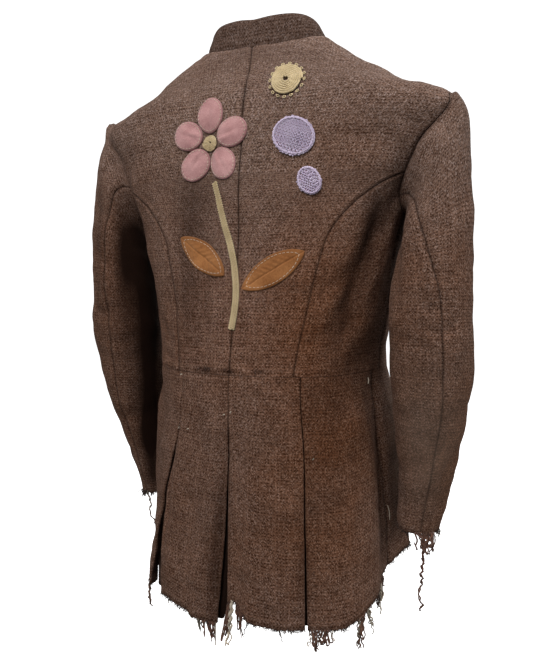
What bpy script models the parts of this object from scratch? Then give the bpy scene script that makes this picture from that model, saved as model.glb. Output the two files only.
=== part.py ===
"""Fitted military jacket of brown wool, worn form, hollow, with a frayed pleated skirt.

Metres, +Z up. The origin is the middle of the neck opening at the nape's height, the front
faces -Y and the wearer's left is +X. A place on the body is given by its turn, in degrees
from the centre back towards the wearer's left, and by its level, in metres above the hem.
"""
import math
import random
from collections import namedtuple

import bmesh
import bpy
import numpy as np
from mathutils import Matrix, Vector

# Cloth and seams
CLOTH = 0.0016
SEAM_GAP = 0.0004
LIFT = 0.0006

# Levels on the body, in metres above the hem along the centre back
HEM_DROP = 0.7225
WAIST_LEVEL = 0.309
UNDERARM_LEVEL = 0.507
SHOULDER_LEVEL = 0.656
NECK_LEVEL = 0.7225

# Guide rings of the body, from the hem to the neck: half is the half width at the side
Section = namedtuple("Section", "level z_side z_front y_mid half back front square")
BODY = [
    Section(0.0000, -0.718, -0.712, -0.033, 0.180, 0.169, 0.112, 2.3),
    Section(0.1150, -0.605, -0.603, -0.038, 0.172, 0.166, 0.105, 2.3),
    Section(0.2150, -0.506, -0.505, -0.025, 0.164, 0.146, 0.105, 2.3),
    Section(0.3090, -0.413, -0.413, -0.017, 0.150, 0.132, 0.098, 2.3),
    Section(0.3900, -0.332, -0.332, -0.012, 0.163, 0.114, 0.108, 2.3),
    Section(0.5070, -0.215, -0.215, 0.003, 0.187, 0.083, 0.128, 2.5),
    Section(0.5900, -0.140, -0.150, 0.005, 0.216, 0.073, 0.115, 2.6),
    Section(0.6560, -0.078, -0.112, 0.009, 0.244, 0.058, 0.098, 2.5),
    Section(0.6980, -0.043, -0.086, 0.006, 0.166, 0.044, 0.077, 2.2),
    Section(0.7225, 0.009, -0.058, 0.004, 0.083, 0.040, 0.068, 2.0),
]

# Rows of the bodice, closer together where the seams and the armhole turn
BACK_ROWS = [0.3092, 0.350, 0.390, 0.430, 0.465, 0.490, 0.507, 0.516, 0.526, 0.536, 0.544,
             0.550, 0.5555, 0.5565, 0.585, 0.612, 0.636, 0.650, 0.656, 0.668, 0.683, 0.698,
             0.710, 0.7225]
FRONT_ROWS = [0.3092, 0.337, 0.393, 0.449, 0.507, 0.510, 0.518, 0.530, 0.550, 0.577, 0.605,
              0.630, 0.645, 0.653, 0.656, 0.668, 0.683, 0.698, 0.710, 0.7225]

BACK_COLUMNS = 11
SIDE_BACK_COLUMNS = 8
FRONT_COLUMNS = 9

# Armhole: a D-shaped hole about the side line
SIDE_TURN = 90.0
FRONT_TURN = 180.0
ARMHOLE_BACK = 17.0
ARMHOLE_FRONT = 36.0
ARMHOLE_POWER = 2.3

# Curves across the cloth, each a list of (level, turn)
PRINCESS = [(0.309, 29.0), (0.390, 31.5), (0.440, 33.0), (0.485, 36.0), (0.510, 42.0),
            (0.528, 49.0), (0.541, 56.0), (0.550, 63.0), (0.556, 70.0)]
PRINCESS_TOP = 0.556

# Front: the left front laps over the right one
LAP = 9.0
LAP_START = 150.0
LAP_DEPTH = 0.0026

# Collar: its height at the back and how much lower it is from the sides on
COLLAR_HEIGHT = 0.037
COLLAR_LEAN = 0.012
COLLAR_DROP = 0.017
COLLAR_DROP_TURNS = (20.0, 110.0)
COLLAR_OPENING = 4.0

# Sleeve: rings from the armhole to the cuff, for the wearer's left side
SleeveRing = namedtuple("SleeveRing", "run x y z tilt wide deep")
SLEEVE = [
    SleeveRing(0.00, 0.2165, -0.020, -0.1455, 21.0, 0.0755, 0.050),
    SleeveRing(0.05, 0.2205, -0.019, -0.1460, 21.2, 0.0780, 0.055),
    SleeveRing(0.10, 0.2238, -0.016, -0.1540, 24.0, 0.0783, 0.057),
    SleeveRing(0.16, 0.2256, -0.012, -0.1680, 28.2, 0.0756, 0.058),
    SleeveRing(0.23, 0.2264, -0.006, -0.1925, 36.8, 0.0650, 0.058),
    SleeveRing(0.30, 0.2268, 0.000, -0.2230, 51.5, 0.0535, 0.056),
    SleeveRing(0.37, 0.2260, 0.005, -0.2575, 74.0, 0.0478, 0.053),
    SleeveRing(0.47, 0.2240, 0.009, -0.3100, 90.0, 0.0492, 0.051),
    SleeveRing(0.59, 0.2240, 0.006, -0.3800, 90.0, 0.0512, 0.049),
    SleeveRing(0.70, 0.2220, -0.007, -0.4500, 92.0, 0.0472, 0.047),
    SleeveRing(0.82, 0.2152, -0.024, -0.5160, 93.0, 0.0392, 0.043),
    SleeveRing(0.92, 0.2088, -0.037, -0.5730, 94.0, 0.0316, 0.039),
    SleeveRing(1.00, 0.2026, -0.041, -0.6170, 97.0, 0.0263, 0.035),
]

# How far back the wearer's right forearm is carried, by run along the sleeve
RIGHT_CARRIED_BACK = [(0.0, 0.0), (0.55, 0.0), (0.70, 0.003), (0.82, 0.006), (0.92, 0.009),
                      (1.0, 0.011)]
HEAD_BLEND = 0.14
HEAD_GAP_LEFT = 0.0015
HEAD_GAP_RIGHT = 0.0018
HEAD_GAP_FRONT = 0.0010
SLEEVE_STEPS = [0.0, 0.04, 0.09, 0.15, 0.22, 0.30, 0.40, 0.52, 0.64, 0.76, 0.88, 1.0]

SLEEVE_SEAM_ANGLE = 0.25
SLEEVE_UPPER_COLUMNS = 14
SLEEVE_UNDER_COLUMNS = 11

# Seams along the sleeve, each a list of (run, angle): 0 outside, 90 behind, 180 inside, 270 front
HIND_SEAM_LEFT = [(0.0, 108.0), (0.10, 103.0), (0.22, 99.0), (0.30, 91.0), (0.42, 86.0),
                  (0.56, 89.0), (0.65, 88.0), (0.74, 82.0), (1.0, 78.0)]
HIND_SEAM_RIGHT = [(0.0, 136.0), (0.085, 127.0), (0.20, 112.0), (0.32, 96.0), (0.41, 78.0),
                   (0.47, 66.0), (0.59, 61.5), (0.78, 61.6), (0.89, 66.0), (1.0, 67.0)]
FORE_SEAM = [(0.0, 240.0), (0.3, 232.0), (1.0, 228.0)]

# Skirt: the fold of a pleat, and the edges of the panels beside each pleat
FOLD_RADIUS = 0.0006
FOLD_RETURN = 0.018
FOLD_ANGLES = [-90, -30, 30, 90]
CENTER_RIGHT_EDGE = [(0.0, -0.70), (0.10, -0.30), (0.26, -0.06), (0.309, -0.06)]
CENTER_LEFT_EDGE = [(0.0, 2.20), (0.10, 0.80), (0.26, 0.06), (0.309, 0.06)]
RIGHT_INNER_EDGE = [(0.0, -31.0), (0.16, -31.4), (0.309, -32.4)]
RIGHT_OUTER_EDGE = [(0.0, -32.0), (0.16, -31.9), (0.309, -32.8)]
LEFT_INNER_EDGE = [(0.0, 34.5), (0.08, 36.0), (0.134, 34.6), (0.174, 31.0), (0.224, 27.2),
                   (0.264, 25.6), (0.309, 25.6)]
LEFT_OUTER_EDGE = [(0.0, 53.0), (0.06, 47.5), (0.116, 40.7), (0.174, 32.6), (0.224, 27.8),
                   (0.264, 26.0), (0.309, 26.0)]
SKIRT_SIDE = 84.0
SKIRT_SEAM_TURN = 0.1
SKIRT_FRONT_TURN = 0.2
SKIRT_ROWS = [0.0, 0.15, 0.35, 0.55, 0.75, 0.90, 1.0]

# How far each pleat stands open at the hem, in degrees of its folds
CENTER_PLEAT_OPEN = 10
LEFT_PLEAT_OPEN = 26
RIGHT_PLEAT_OPEN = 3
UNDERLAY_COLUMNS = 7
UNDERLAY_RISE = 0.004

# Torn hem: its level by turn
HEM_LOWEST = 0.0005
HEM = [(-180, 0.012), (-150, 0.010), (-120, 0.050), (-100, 0.060), (-80, 0.043), (-62, 0.013),
       (-51, 0.001), (-33, 0.004), (-18, 0.005), (-8, 0.010), (-0.7, 0.024), (1.0, 0.002),
       (16, 0.008), (33, 0.012), (44, 0.004), (53, 0.000), (75, 0.010), (100, 0.016),
       (150, 0.008), (180, 0.012)]

# The torn edge of a panel: its turns and the points of its outer and inner skins
HemEdge = namedtuple("HemEdge", "turns outer inner")

# Soft flutes of the skirt: turn, width in degrees and how far out at the hem
Flute = namedtuple("Flute", "turn width out")
FLUTES = [
    Flute(-80, 9, -0.013),
    Flute(-106, 13, 0.010),
    Flute(-132, 11, -0.008),
    Flute(82, 9, -0.010),
    Flute(107, 13, 0.009),
    Flute(133, 11, -0.008),
]

# Largest soft folds of the bodice, from a low end to a high end; out is below 0 for a trough
SoftFold = namedtuple("SoftFold", "low_level low_turn high_level high_turn width out")
SOFT_FOLDS = [
    SoftFold(0.335, 8.5, 0.600, 9.5, 6.5, -0.0030),
    SoftFold(0.325, -44.0, 0.498, -63.0, 6.0, -0.0055),
    SoftFold(0.345, -60.0, 0.505, -74.0, 5.5, 0.0040),
    SoftFold(0.340, 58.0, 0.490, 70.0, 7.0, -0.0040),
    SoftFold(0.200, -104.0, 0.460, -104.0, 14.0, 0.0050),
    SoftFold(0.100, -106.0, 0.360, -106.0, 13.0, 0.0110),
    SoftFold(0.585, 88.0, 0.718, 80.0, 26.0, -0.0100),
]

# Frayed edges: a narrow strip below each torn edge, with short threads at random places
FRINGE_STRIP = 0.003
THREAD = 0.0014
THREAD_TIP = 0.55
SHORT_THREADS = (0.004, 0.010)
Fray = namedtuple("Fray", "name first last threads seed")
HEM_FRAYS = [
    Fray("back_left", 2.6, 33.5, 11, 1),
    Fray("back_right", -30.6, -1.2, 12, 2),
    Fray("side_right", -83.0, -32.6, 15, 3),
    Fray("side_left", 54.5, 83.0, 7, 4),
    Fray("front_left", 85.0, 178.5, 12, 5),
    Fray("front_right", -178.5, -85.0, 12, 6),
]
CUFF_FRAYS = [
    Fray("left", 0.0, 360.0, 11, 7),
    Fray("right", 0.0, 360.0, 11, 8),
]

# Long threads and torn scraps of lining that hang from the strips
Hanging = namedtuple("Hanging", "fray place width length lean forward")
HANGING = [
    Hanging("back_left", 3.4, 0.0040, 0.030, 12, -4),
    Hanging("back_left", 6.5, 0.0014, 0.022, -25, 6),
    Hanging("back_left", 27.0, 0.0014, 0.026, 4, 2),
    Hanging("back_right", -2.6, 0.0060, 0.034, 10, -6),
    Hanging("back_right", -5.2, 0.0014, 0.028, -20, 8),
    Hanging("back_right", -8.4, 0.0014, 0.024, 24, 4),
    Hanging("side_right", -34.5, 0.0014, 0.024, 14, 6),
    Hanging("side_right", -37.5, 0.0030, 0.027, -8, 2),
    Hanging("side_right", -41.0, 0.0014, 0.024, -22, 6),
    Hanging("side_right", -58.5, 0.0016, 0.036, 6, 4),
    Hanging("side_right", -61.5, 0.0016, 0.040, -4, 8),
    Hanging("side_right", -64.5, 0.0050, 0.040, -10, 0),
    Hanging("side_right", -70.0, 0.0014, 0.034, 8, 6),
    Hanging("side_right", -74.5, 0.0030, 0.040, -4, 0),
    Hanging("side_right", -79.0, 0.0014, 0.030, -16, 4),
    Hanging("side_left", 56.0, 0.0016, 0.036, 12, 4),
    Hanging("front_right", -106.0, 0.0050, 0.012, -20, 2),
    Hanging("left", 150.0, 0.0014, 0.055, 6, 4),
    Hanging("right", 75.0, 0.0018, 0.100, 3, 3),
    Hanging("right", 88.0, 0.0014, 0.032, -14, 6),
    Hanging("right", 60.0, 0.0014, 0.030, 12, 4),
    Hanging("right", 103.0, 0.0014, 0.026, -20, 4),
]

# Buttons down the front
BUTTON_RADIUS = 0.0105
BUTTON_HEIGHT = 0.0040
BUTTON_FACE = 0.8
BUTTON_LEVELS = [0.337, 0.393, 0.449, 0.507, 0.577, 0.668]

# Cut-out pieces sewn on the back: a flower, its stem and leaves, buds and a rosette
FLOWER_X = 0.045
FLOWER_LEVEL = 0.600
PETALS = 5
PETAL_DISTANCE = 0.034
Motif = namedtuple("Motif", "name kind x level angle long wide thick crown material")
MOTIFS = [
    Motif("flower_center", "round", 0.045, 0.600, 0, 0.0110, 0.0110, 0.0026, 0.0020, "gold"),
    Motif("leaf_left", "leaf", 0.0504, 0.4561, 35, 0.0420, 0.0170, 0.0014, 0.0006, "suede"),
    Motif("leaf_right", "leaf", -0.0490, 0.4375, 150, 0.0450, 0.0180, 0.0014, 0.0006, "suede"),
    Motif("bud_large", "round", -0.0700, 0.6000, 20, 0.0270, 0.0220, 0.0016, 0.0010, "lilac"),
    Motif("bud_small", "round", -0.0920, 0.5450, 60, 0.0170, 0.0130, 0.0016, 0.0010, "lilac"),
    Motif("rosette", "round", -0.0560, 0.6700, 0, 0.0210, 0.0210, 0.0024, 0.0012, "gold"),
]
PETAL = Motif("petal", "round", 0.0, 0.0, 0, 0.0220, 0.0185, 0.0018, 0.0030, "pink")
MOTIF_SPOKES = 12
STEM = [(0.365, 0.000), (0.400, -0.004), (0.450, 0.004), (0.500, 0.020), (0.549, 0.036)]
STEM_WIDTH = 0.009
STEM_THICK = 0.0020
STEM_CROWN = 0.0010

WOOL = (0.105, 0.062, 0.045, 1.0)
TORN = (0.070, 0.040, 0.030, 1.0)
HORN = (0.030, 0.020, 0.015, 1.0)
PINK = (0.420, 0.225, 0.205, 1.0)
SUEDE = (0.420, 0.200, 0.075, 1.0)
LILAC = (0.500, 0.400, 0.560, 1.0)
GOLD = (0.560, 0.420, 0.200, 1.0)


def smooth(x, points, values):
    """Read a smooth curve through the points at x."""
    points = np.asarray(points, float)
    values = np.asarray(values, float)
    x = np.clip(np.asarray(x, float), points[0], points[-1])
    step = np.diff(points)
    rise = np.diff(values) / step
    slope = np.empty(len(points))
    slope[0] = rise[0]
    slope[-1] = rise[-1]
    slope[1:-1] = (rise[:-1] * step[1:] + rise[1:] * step[:-1]) / (step[:-1] + step[1:])
    i = np.clip(np.searchsorted(points, x, side="right") - 1, 0, len(points) - 2)
    t = (x - points[i]) / step[i]
    start = (2 * t**3 - 3 * t**2 + 1) * values[i] + (t**3 - 2 * t**2 + t) * step[i] * slope[i]
    end = (3 * t**2 - 2 * t**3) * values[i + 1] + (t**3 - t**2) * step[i] * slope[i + 1]
    return start + end


def read(curve, x):
    """Read a list of (x, value) pairs as a smooth curve."""
    return smooth(x, [pair[0] for pair in curve], [pair[1] for pair in curve])


def signed_power(value, power):
    return np.sign(value) * np.abs(value) ** power


def ring_sizes(level):
    levels = [ring.level for ring in BODY]
    return {name: smooth(level, levels, [getattr(ring, name) for ring in BODY])
            for name in Section._fields[1:]}


def plain_body(turn, level):
    """Point of the body's outer surface without the flutes of the skirt."""
    turn = np.asarray(turn, float)
    size = ring_sizes(level)
    sine = np.sin(np.radians(turn))
    cosine = np.cos(np.radians(turn))
    depth = np.where(cosine >= 0, size["back"], size["front"])
    power = 2 / size["square"]
    x = size["half"] * signed_power(sine, power)
    y = size["y_mid"] + depth * signed_power(cosine, power)
    z_back = np.asarray(level, float) - HEM_DROP
    z_end = np.where(cosine >= 0, z_back, size["z_front"])
    z = size["z_side"] + (z_end - size["z_side"]) * cosine**2
    return np.stack([x, y, z], -1)


def flute_depth(turn, level):
    """How far the skirt stands out, growing from the waist to the hem."""
    fall = np.clip(1 - np.asarray(level, float) / WAIST_LEVEL, 0, 1)
    out = sum(f.out * np.exp(-(((turn - f.turn) / f.width) ** 2)) for f in FLUTES)
    return out * fall**0.8


def soft_fold_depth(turn, level):
    """How far the soft folds of the bodice stand out, fading at both ends."""
    out = 0.0
    for fold in SOFT_FOLDS:
        along = np.clip((level - fold.low_level) / (fold.high_level - fold.low_level), 0, 1)
        middle = fold.low_turn + (fold.high_turn - fold.low_turn) * along
        across = np.exp(-(((turn - middle) / fold.width) ** 2))
        out = out + fold.out * across * np.sin(np.pi * along) ** 2
    return out


def outward(turn, level):
    """Unit normal of the body's surface, pointing out."""
    turn_step = 0.5
    level_step = 0.002
    low = np.clip(np.asarray(level, float) - level_step, 0, NECK_LEVEL)
    high = np.clip(np.asarray(level, float) + level_step, 0, NECK_LEVEL)
    along = plain_body(turn + turn_step, level) - plain_body(turn - turn_step, level)
    up = plain_body(turn, high) - plain_body(turn, low)
    normal = np.cross(up, along)
    return normal / np.linalg.norm(normal, axis=-1, keepdims=True)


def body(turn, level, out=0.0):
    """Point of the body's surface, moved out from it by a distance."""
    turn, level, out = np.broadcast_arrays(np.asarray(turn, float), level, out)
    distance = out + flute_depth(turn, level) + soft_fold_depth(turn, level)
    return plain_body(turn, level) + outward(turn, level) * distance[..., None]


def degrees_per_metre(turn, level):
    """How many degrees of turn one metre along the cloth takes."""
    step = 0.5
    span = plain_body(turn + step, level) - plain_body(turn - step, level)
    return 2 * step / np.linalg.norm(span, axis=-1)


def turn_at(x, level):
    """Turn of the back's point at a distance x from the centre back line."""
    size = ring_sizes(level)
    share = np.clip(np.abs(x) / size["half"], 0, 1)
    return np.sign(x) * np.degrees(np.arcsin(share ** (size["square"] / 2)))


def armhole_width(level):
    """Share of the armhole's full width at a level, 0 at its top and bottom."""
    middle = (UNDERARM_LEVEL + SHOULDER_LEVEL) / 2
    reach = (SHOULDER_LEVEL - UNDERARM_LEVEL) / 2
    height = np.clip(np.abs(np.asarray(level, float) - middle) / reach, 0, 1)
    return (1 - height**ARMHOLE_POWER) ** (1 / ARMHOLE_POWER)


def armhole_back(level):
    return SIDE_TURN - ARMHOLE_BACK * armhole_width(level)


def armhole_front(level):
    return SIDE_TURN + ARMHOLE_FRONT * armhole_width(level)


def princess(level):
    return read(PRINCESS, level)


def back_edge(level):
    """Outer edge of the back: the princess seam, the armhole, then the shoulder seam."""
    seam = princess(level)
    return np.where(level < PRINCESS_TOP, seam, armhole_back(level))


def make_object(name, mesh, material, collection):
    item = bpy.data.objects.new(name, mesh)
    item.data.materials.append(material)
    collection.objects.link(item)
    return item


def add_wall_faces(shell, outer, inner, ring=False):
    """Fill a shell with the two skins of a wall and its rims; return the first row's rim."""
    rows, columns = outer.shape[:2]
    skins = [[[shell.verts.new(point) for point in row] for row in skin]
             for skin in (outer, inner)]
    spans = columns if ring else columns - 1
    for i in range(rows - 1):
        for j in range(spans):
            k = (j + 1) % columns
            front, back = skins
            shell.faces.new((front[i][j], front[i + 1][j], front[i + 1][k], front[i][k]))
            shell.faces.new((back[i][j], back[i][k], back[i + 1][k], back[i + 1][j]))
    rim = []
    for j in range(spans):
        k = (j + 1) % columns
        front, back = skins
        rim.append(shell.faces.new((front[0][k], back[0][k], back[0][j], front[0][j])))
        shell.faces.new((front[-1][j], back[-1][j], back[-1][k], front[-1][k]))
    if not ring:
        for i in range(rows - 1):
            front, back = skins
            shell.faces.new((front[i][0], back[i][0], back[i + 1][0], front[i + 1][0]))
            shell.faces.new((front[i + 1][-1], back[i + 1][-1], back[i][-1], front[i][-1]))
    return rim


def finish_mesh(name, shell):
    """Turn the faces out and make the mesh."""
    bmesh.ops.recalc_face_normals(shell, faces=shell.faces)
    if shell.calc_volume(signed=True) < 0:
        bmesh.ops.reverse_faces(shell, faces=shell.faces)
    mesh = bpy.data.meshes.new(name)
    shell.to_mesh(mesh)
    shell.free()
    mesh.shade_smooth()
    mesh.set_sharp_from_angle(angle=math.radians(50))
    return mesh


def cloth_wall(name, outer, inner, material, collection, ring=False):
    """A piece of cloth as a closed wall between its outer and inner skins."""
    shell = bmesh.new()
    add_wall_faces(shell, outer, inner, ring)
    return make_object(name, finish_mesh(name, shell), material, collection)


def mirrored(points, side):
    """Points for the wearer's left side (+1) or right side (-1)."""
    return points * np.array([side, 1, 1])


def spread(first, last, columns):
    """Turns from the first to the last edge of each row."""
    share = np.linspace(0, 1, columns)
    return first[:, None] + (last - first)[:, None] * share


def inset_edges(first, last, level):
    """Both edges of a piece moved in by half a seam gap."""
    half_gap = SEAM_GAP / 2
    start = first + half_gap * degrees_per_metre(first, level)
    end = last - half_gap * degrees_per_metre(last, level)
    return start, end


def body_panel(name, levels, first, last, columns, side, material, collection, depth=None,
               lap=0.0):
    """A panel of the bodice between two edges given by level, with a lap past the last."""
    start, end = inset_edges(first, last, levels)
    turn = spread(start, end, columns)
    if lap:
        turn = np.append(turn, end[:, None] + lap, axis=1)
    level = np.broadcast_to(levels[:, None], turn.shape)
    sink = 0 if depth is None else depth(turn)
    outer = body(turn * side, level, -sink)
    inner = body(turn * side, level, -sink - CLOTH)
    return cloth_wall(name, outer, inner, material, collection)


def under_lap(turn):
    """How deep the right front lies so that the left front laps over it."""
    share = np.clip((turn - LAP_START) / (FRONT_TURN - LAP - LAP_START), 0, 1)
    return LAP_DEPTH * share**2 * (3 - 2 * share)


def make_bodice(material, collection):
    rows = np.array(BACK_ROWS)
    low = rows[rows < PRINCESS_TOP]
    low[-1] -= SEAM_GAP
    front_rows = np.array(FRONT_ROWS)
    for side, word in ((1, "left"), (-1, "right")):
        center = np.zeros_like(rows)
        body_panel("back_" + word, rows, center, back_edge(rows), BACK_COLUMNS, side, material,
                   collection)
        inner_edge = princess(low + SEAM_GAP)
        outer_edge = np.where(low <= UNDERARM_LEVEL, SIDE_TURN, armhole_back(low))
        body_panel("side_back_" + word, low, inner_edge, outer_edge, SIDE_BACK_COLUMNS, side,
                   material, collection)
        front_edge = np.where((front_rows > UNDERARM_LEVEL) & (front_rows < SHOULDER_LEVEL),
                              armhole_front(front_rows), SIDE_TURN)
        center = np.full_like(front_rows, FRONT_TURN)
        sink = under_lap if side < 0 else None
        body_panel("front_" + word, front_rows, front_edge, center, FRONT_COLUMNS, side,
                   material, collection, sink, LAP)


def make_collar(material, collection):
    """A stand collar on the neck edge, open at the centre front."""
    turn = np.linspace(FRONT_TURN - COLLAR_OPENING, COLLAR_OPENING - FRONT_TURN, 25)
    skins = []
    for sink in (0.0, CLOTH):
        rows = []
        for share in (0.0, 0.5, 1.0):
            foot = plain_body(turn, NECK_LEVEL)
            away = foot[:, :2] / np.linalg.norm(foot[:, :2], axis=-1, keepdims=True)
            lean = COLLAR_LEAN * share + sink
            start, end = COLLAR_DROP_TURNS
            front = np.clip((np.abs(turn) - start) / (end - start), 0, 1)
            fall = COLLAR_DROP * front**2 * (3 - 2 * front)
            height = 2 * SEAM_GAP + (COLLAR_HEIGHT - fall) * share
            row = foot.copy()
            row[:, :2] -= away * lean
            row[:, 2] += height
            rows.append(row)
        skins.append(np.array(rows))
    cloth_wall("collar", skins[0], skins[1], material, collection)


def armhole_point(angle, side):
    """Point just outside an armhole's edge: 0 top, 90 behind, 180 below, 270 in front."""
    middle = (UNDERARM_LEVEL + SHOULDER_LEVEL) / 2
    reach = (SHOULDER_LEVEL - UNDERARM_LEVEL) / 2
    height = np.cos(np.radians(angle))
    level = middle + reach * height
    width = (1 - np.abs(height) ** ARMHOLE_POWER) ** (1 / ARMHOLE_POWER)
    swing = np.where(np.sin(np.radians(angle)) >= 0, -ARMHOLE_BACK, ARMHOLE_FRONT)
    gap = HEAD_GAP_LEFT if side > 0 else HEAD_GAP_RIGHT
    gap = gap + HEAD_GAP_FRONT * np.clip(-np.sin(np.radians(angle)), 0, 1)
    aside = np.stack([gap, np.zeros_like(gap), np.zeros_like(gap)], -1)
    edge = body((SIDE_TURN + swing * width) * side, level, LIFT)
    return mirrored(edge, side) + aside


def sleeve_ring(angle, run, inward, side):
    """Point of the sleeve's plain tube at an angle round it and a run along it."""
    runs = [ring.run for ring in SLEEVE]
    size = {name: smooth(run, runs, [getattr(ring, name) for ring in SLEEVE])
            for name in SleeveRing._fields[1:]}
    tilt = np.radians(size["tilt"])
    across = (size["wide"] - inward) * np.cos(np.radians(angle))
    behind = (size["deep"] - inward) * np.sin(np.radians(angle))
    x = size["x"] + across * np.sin(tilt)
    y = size["y"] + behind + (read(RIGHT_CARRIED_BACK, run) if side < 0 else 0.0)
    z = size["z"] + across * np.cos(tilt)
    return np.stack([x, y, z], -1)


def sleeve(angle, run, inward, side):
    """Point of a sleeve, as on the wearer's left: a tube led into the armhole at its head."""
    angle, run = np.broadcast_arrays(np.asarray(angle, float), np.asarray(run, float))
    fade = np.clip(1 - run / HEAD_BLEND, 0, 1) ** 2
    shift = armhole_point(angle, side) - sleeve_ring(angle, np.zeros_like(angle), 0.0, side)
    return sleeve_ring(angle, run, inward, side) + shift * fade[..., None]


def sleeve_half(name, first, last, columns, side, material, collection):
    """A piece of the sleeve between two seams, given as angles by run."""
    run = np.array(SLEEVE_STEPS)
    angle = spread(first(run) + SLEEVE_SEAM_ANGLE, last(run) - SLEEVE_SEAM_ANGLE, columns)
    run = np.broadcast_to(run[:, None], angle.shape)
    outer = mirrored(sleeve(angle, run, 0.0, side), side)
    inner = mirrored(sleeve(angle, run, CLOTH, side), side)
    return cloth_wall(name, outer, inner, material, collection)


def fore_seam(run):
    return read(FORE_SEAM, run)


def make_sleeves(material, collection):
    for side, word, hind in ((1, "left", HIND_SEAM_LEFT), (-1, "right", HIND_SEAM_RIGHT)):
        sleeve_half("sleeve_upper_" + word, lambda run: fore_seam(run) - 360,
                    lambda run: read(hind, run), SLEEVE_UPPER_COLUMNS, side, material, collection)
        sleeve_half("sleeve_under_" + word, lambda run: read(hind, run), fore_seam,
                    SLEEVE_UNDER_COLUMNS, side, material, collection)


def fold_skin(skin, open_angle):
    """Cross-section of a pleat's fold as (distance from the edge, depth), panel side first.

    The skin is 1 for the cloth's face and 0 for its back.
    """
    center = CLOTH + FOLD_RADIUS
    radius = FOLD_RADIUS + CLOTH * skin
    angles = np.radians(FOLD_ANGLES)
    along = center - radius * np.cos(angles)
    depth = center + radius * np.sin(angles)
    end_along = center + FOLD_RETURN * math.cos(open_angle)
    end_depth = depth[-1] + FOLD_RETURN * math.sin(open_angle)
    return np.append(along, end_along), np.append(depth, end_depth)


def hem_level(turn):
    return np.maximum(read(HEM, turn), HEM_LOWEST)


def skirt_row(share, turn):
    """Level of a row of the skirt, from the torn hem (0) to the waist seam (1)."""
    bottom = hem_level(turn)
    return bottom + (WAIST_LEVEL - SEAM_GAP / 2 - bottom) * share


def skirt_panel(name, first, last, columns, first_fold, last_fold, material, collection):
    """A panel of the skirt; a fold is how far its pleat opens at the hem, or None.

    Returns the torn edge between the folds.
    """
    skins = []
    for skin in (1, 0):
        grid = []
        for share in SKIRT_ROWS:
            guess = WAIST_LEVEL * share
            start = float(read(first, guess))
            end = float(read(last, guess))
            per_metre = float(degrees_per_metre((start + end) / 2, guess))
            turns = []
            depths = []
            inset = CLOTH + FOLD_RADIUS
            if first_fold is not None:
                along, depth = fold_skin(skin, math.radians(first_fold) * (1 - share))
                turns += list(start + along[::-1] * per_metre)
                depths += list(depth[::-1])
            begin = max(len(turns) - 1, 0)
            first_turn = start + inset * per_metre if first_fold is not None else start
            last_turn = end - inset * per_metre if last_fold is not None else end
            middle = np.linspace(first_turn, last_turn, columns)
            middle = middle[1 if first_fold is not None else 0:]
            middle = middle[:-1] if last_fold is not None else middle
            turns += list(middle)
            finish = len(turns) + (1 if last_fold is not None else 0)
            depths += [CLOTH * (1 - skin)] * len(middle)
            if last_fold is not None:
                along, depth = fold_skin(skin, math.radians(last_fold) * (1 - share))
                turns += list(end - along * per_metre)
                depths += list(depth)
            turns = np.array(turns)
            level = skirt_row(share, np.clip(turns, start, end))
            grid.append(body(turns, level, -np.array(depths)))
            if share == 0:
                hem_turns = turns[begin:finish]
        skins.append(np.array(grid))
    cloth_wall(name, skins[0], skins[1], material, collection)
    return HemEdge(hem_turns, skins[0][0, begin:finish], skins[1][0, begin:finish])


def pleat_under(name, first, last, open_angle, material, collection):
    """The strip of cloth behind a pleat, seated on the ends of its folds."""
    base = 2 * CLOTH + 2 * FOLD_RADIUS + 2 * SEAM_GAP
    skins = []
    for skin in (1, 0):
        grid = []
        for share in SKIRT_ROWS:
            guess = WAIST_LEVEL * share
            start = float(read(first, guess))
            end = float(read(last, guess))
            per_metre = float(degrees_per_metre((start + end) / 2, guess))
            reach = (CLOTH + FOLD_RADIUS + FOLD_RETURN) * per_metre
            turns = np.linspace(start - reach, end + reach, UNDERLAY_COLUMNS)
            opening = math.radians(open_angle) * (1 - share)
            depth = base + FOLD_RETURN * math.sin(opening) + CLOTH * (1 - skin)
            bottom = 0.5 * (hem_level(start) + hem_level(end)) + UNDERLAY_RISE
            level = bottom + (WAIST_LEVEL - SEAM_GAP / 2 - bottom) * share
            grid.append(body(turns, level, -depth))
        skins.append(np.array(grid))
    cloth_wall(name, skins[0], skins[1], material, collection)


def constant(turn):
    return [(0.0, turn), (WAIST_LEVEL, turn)]


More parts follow.
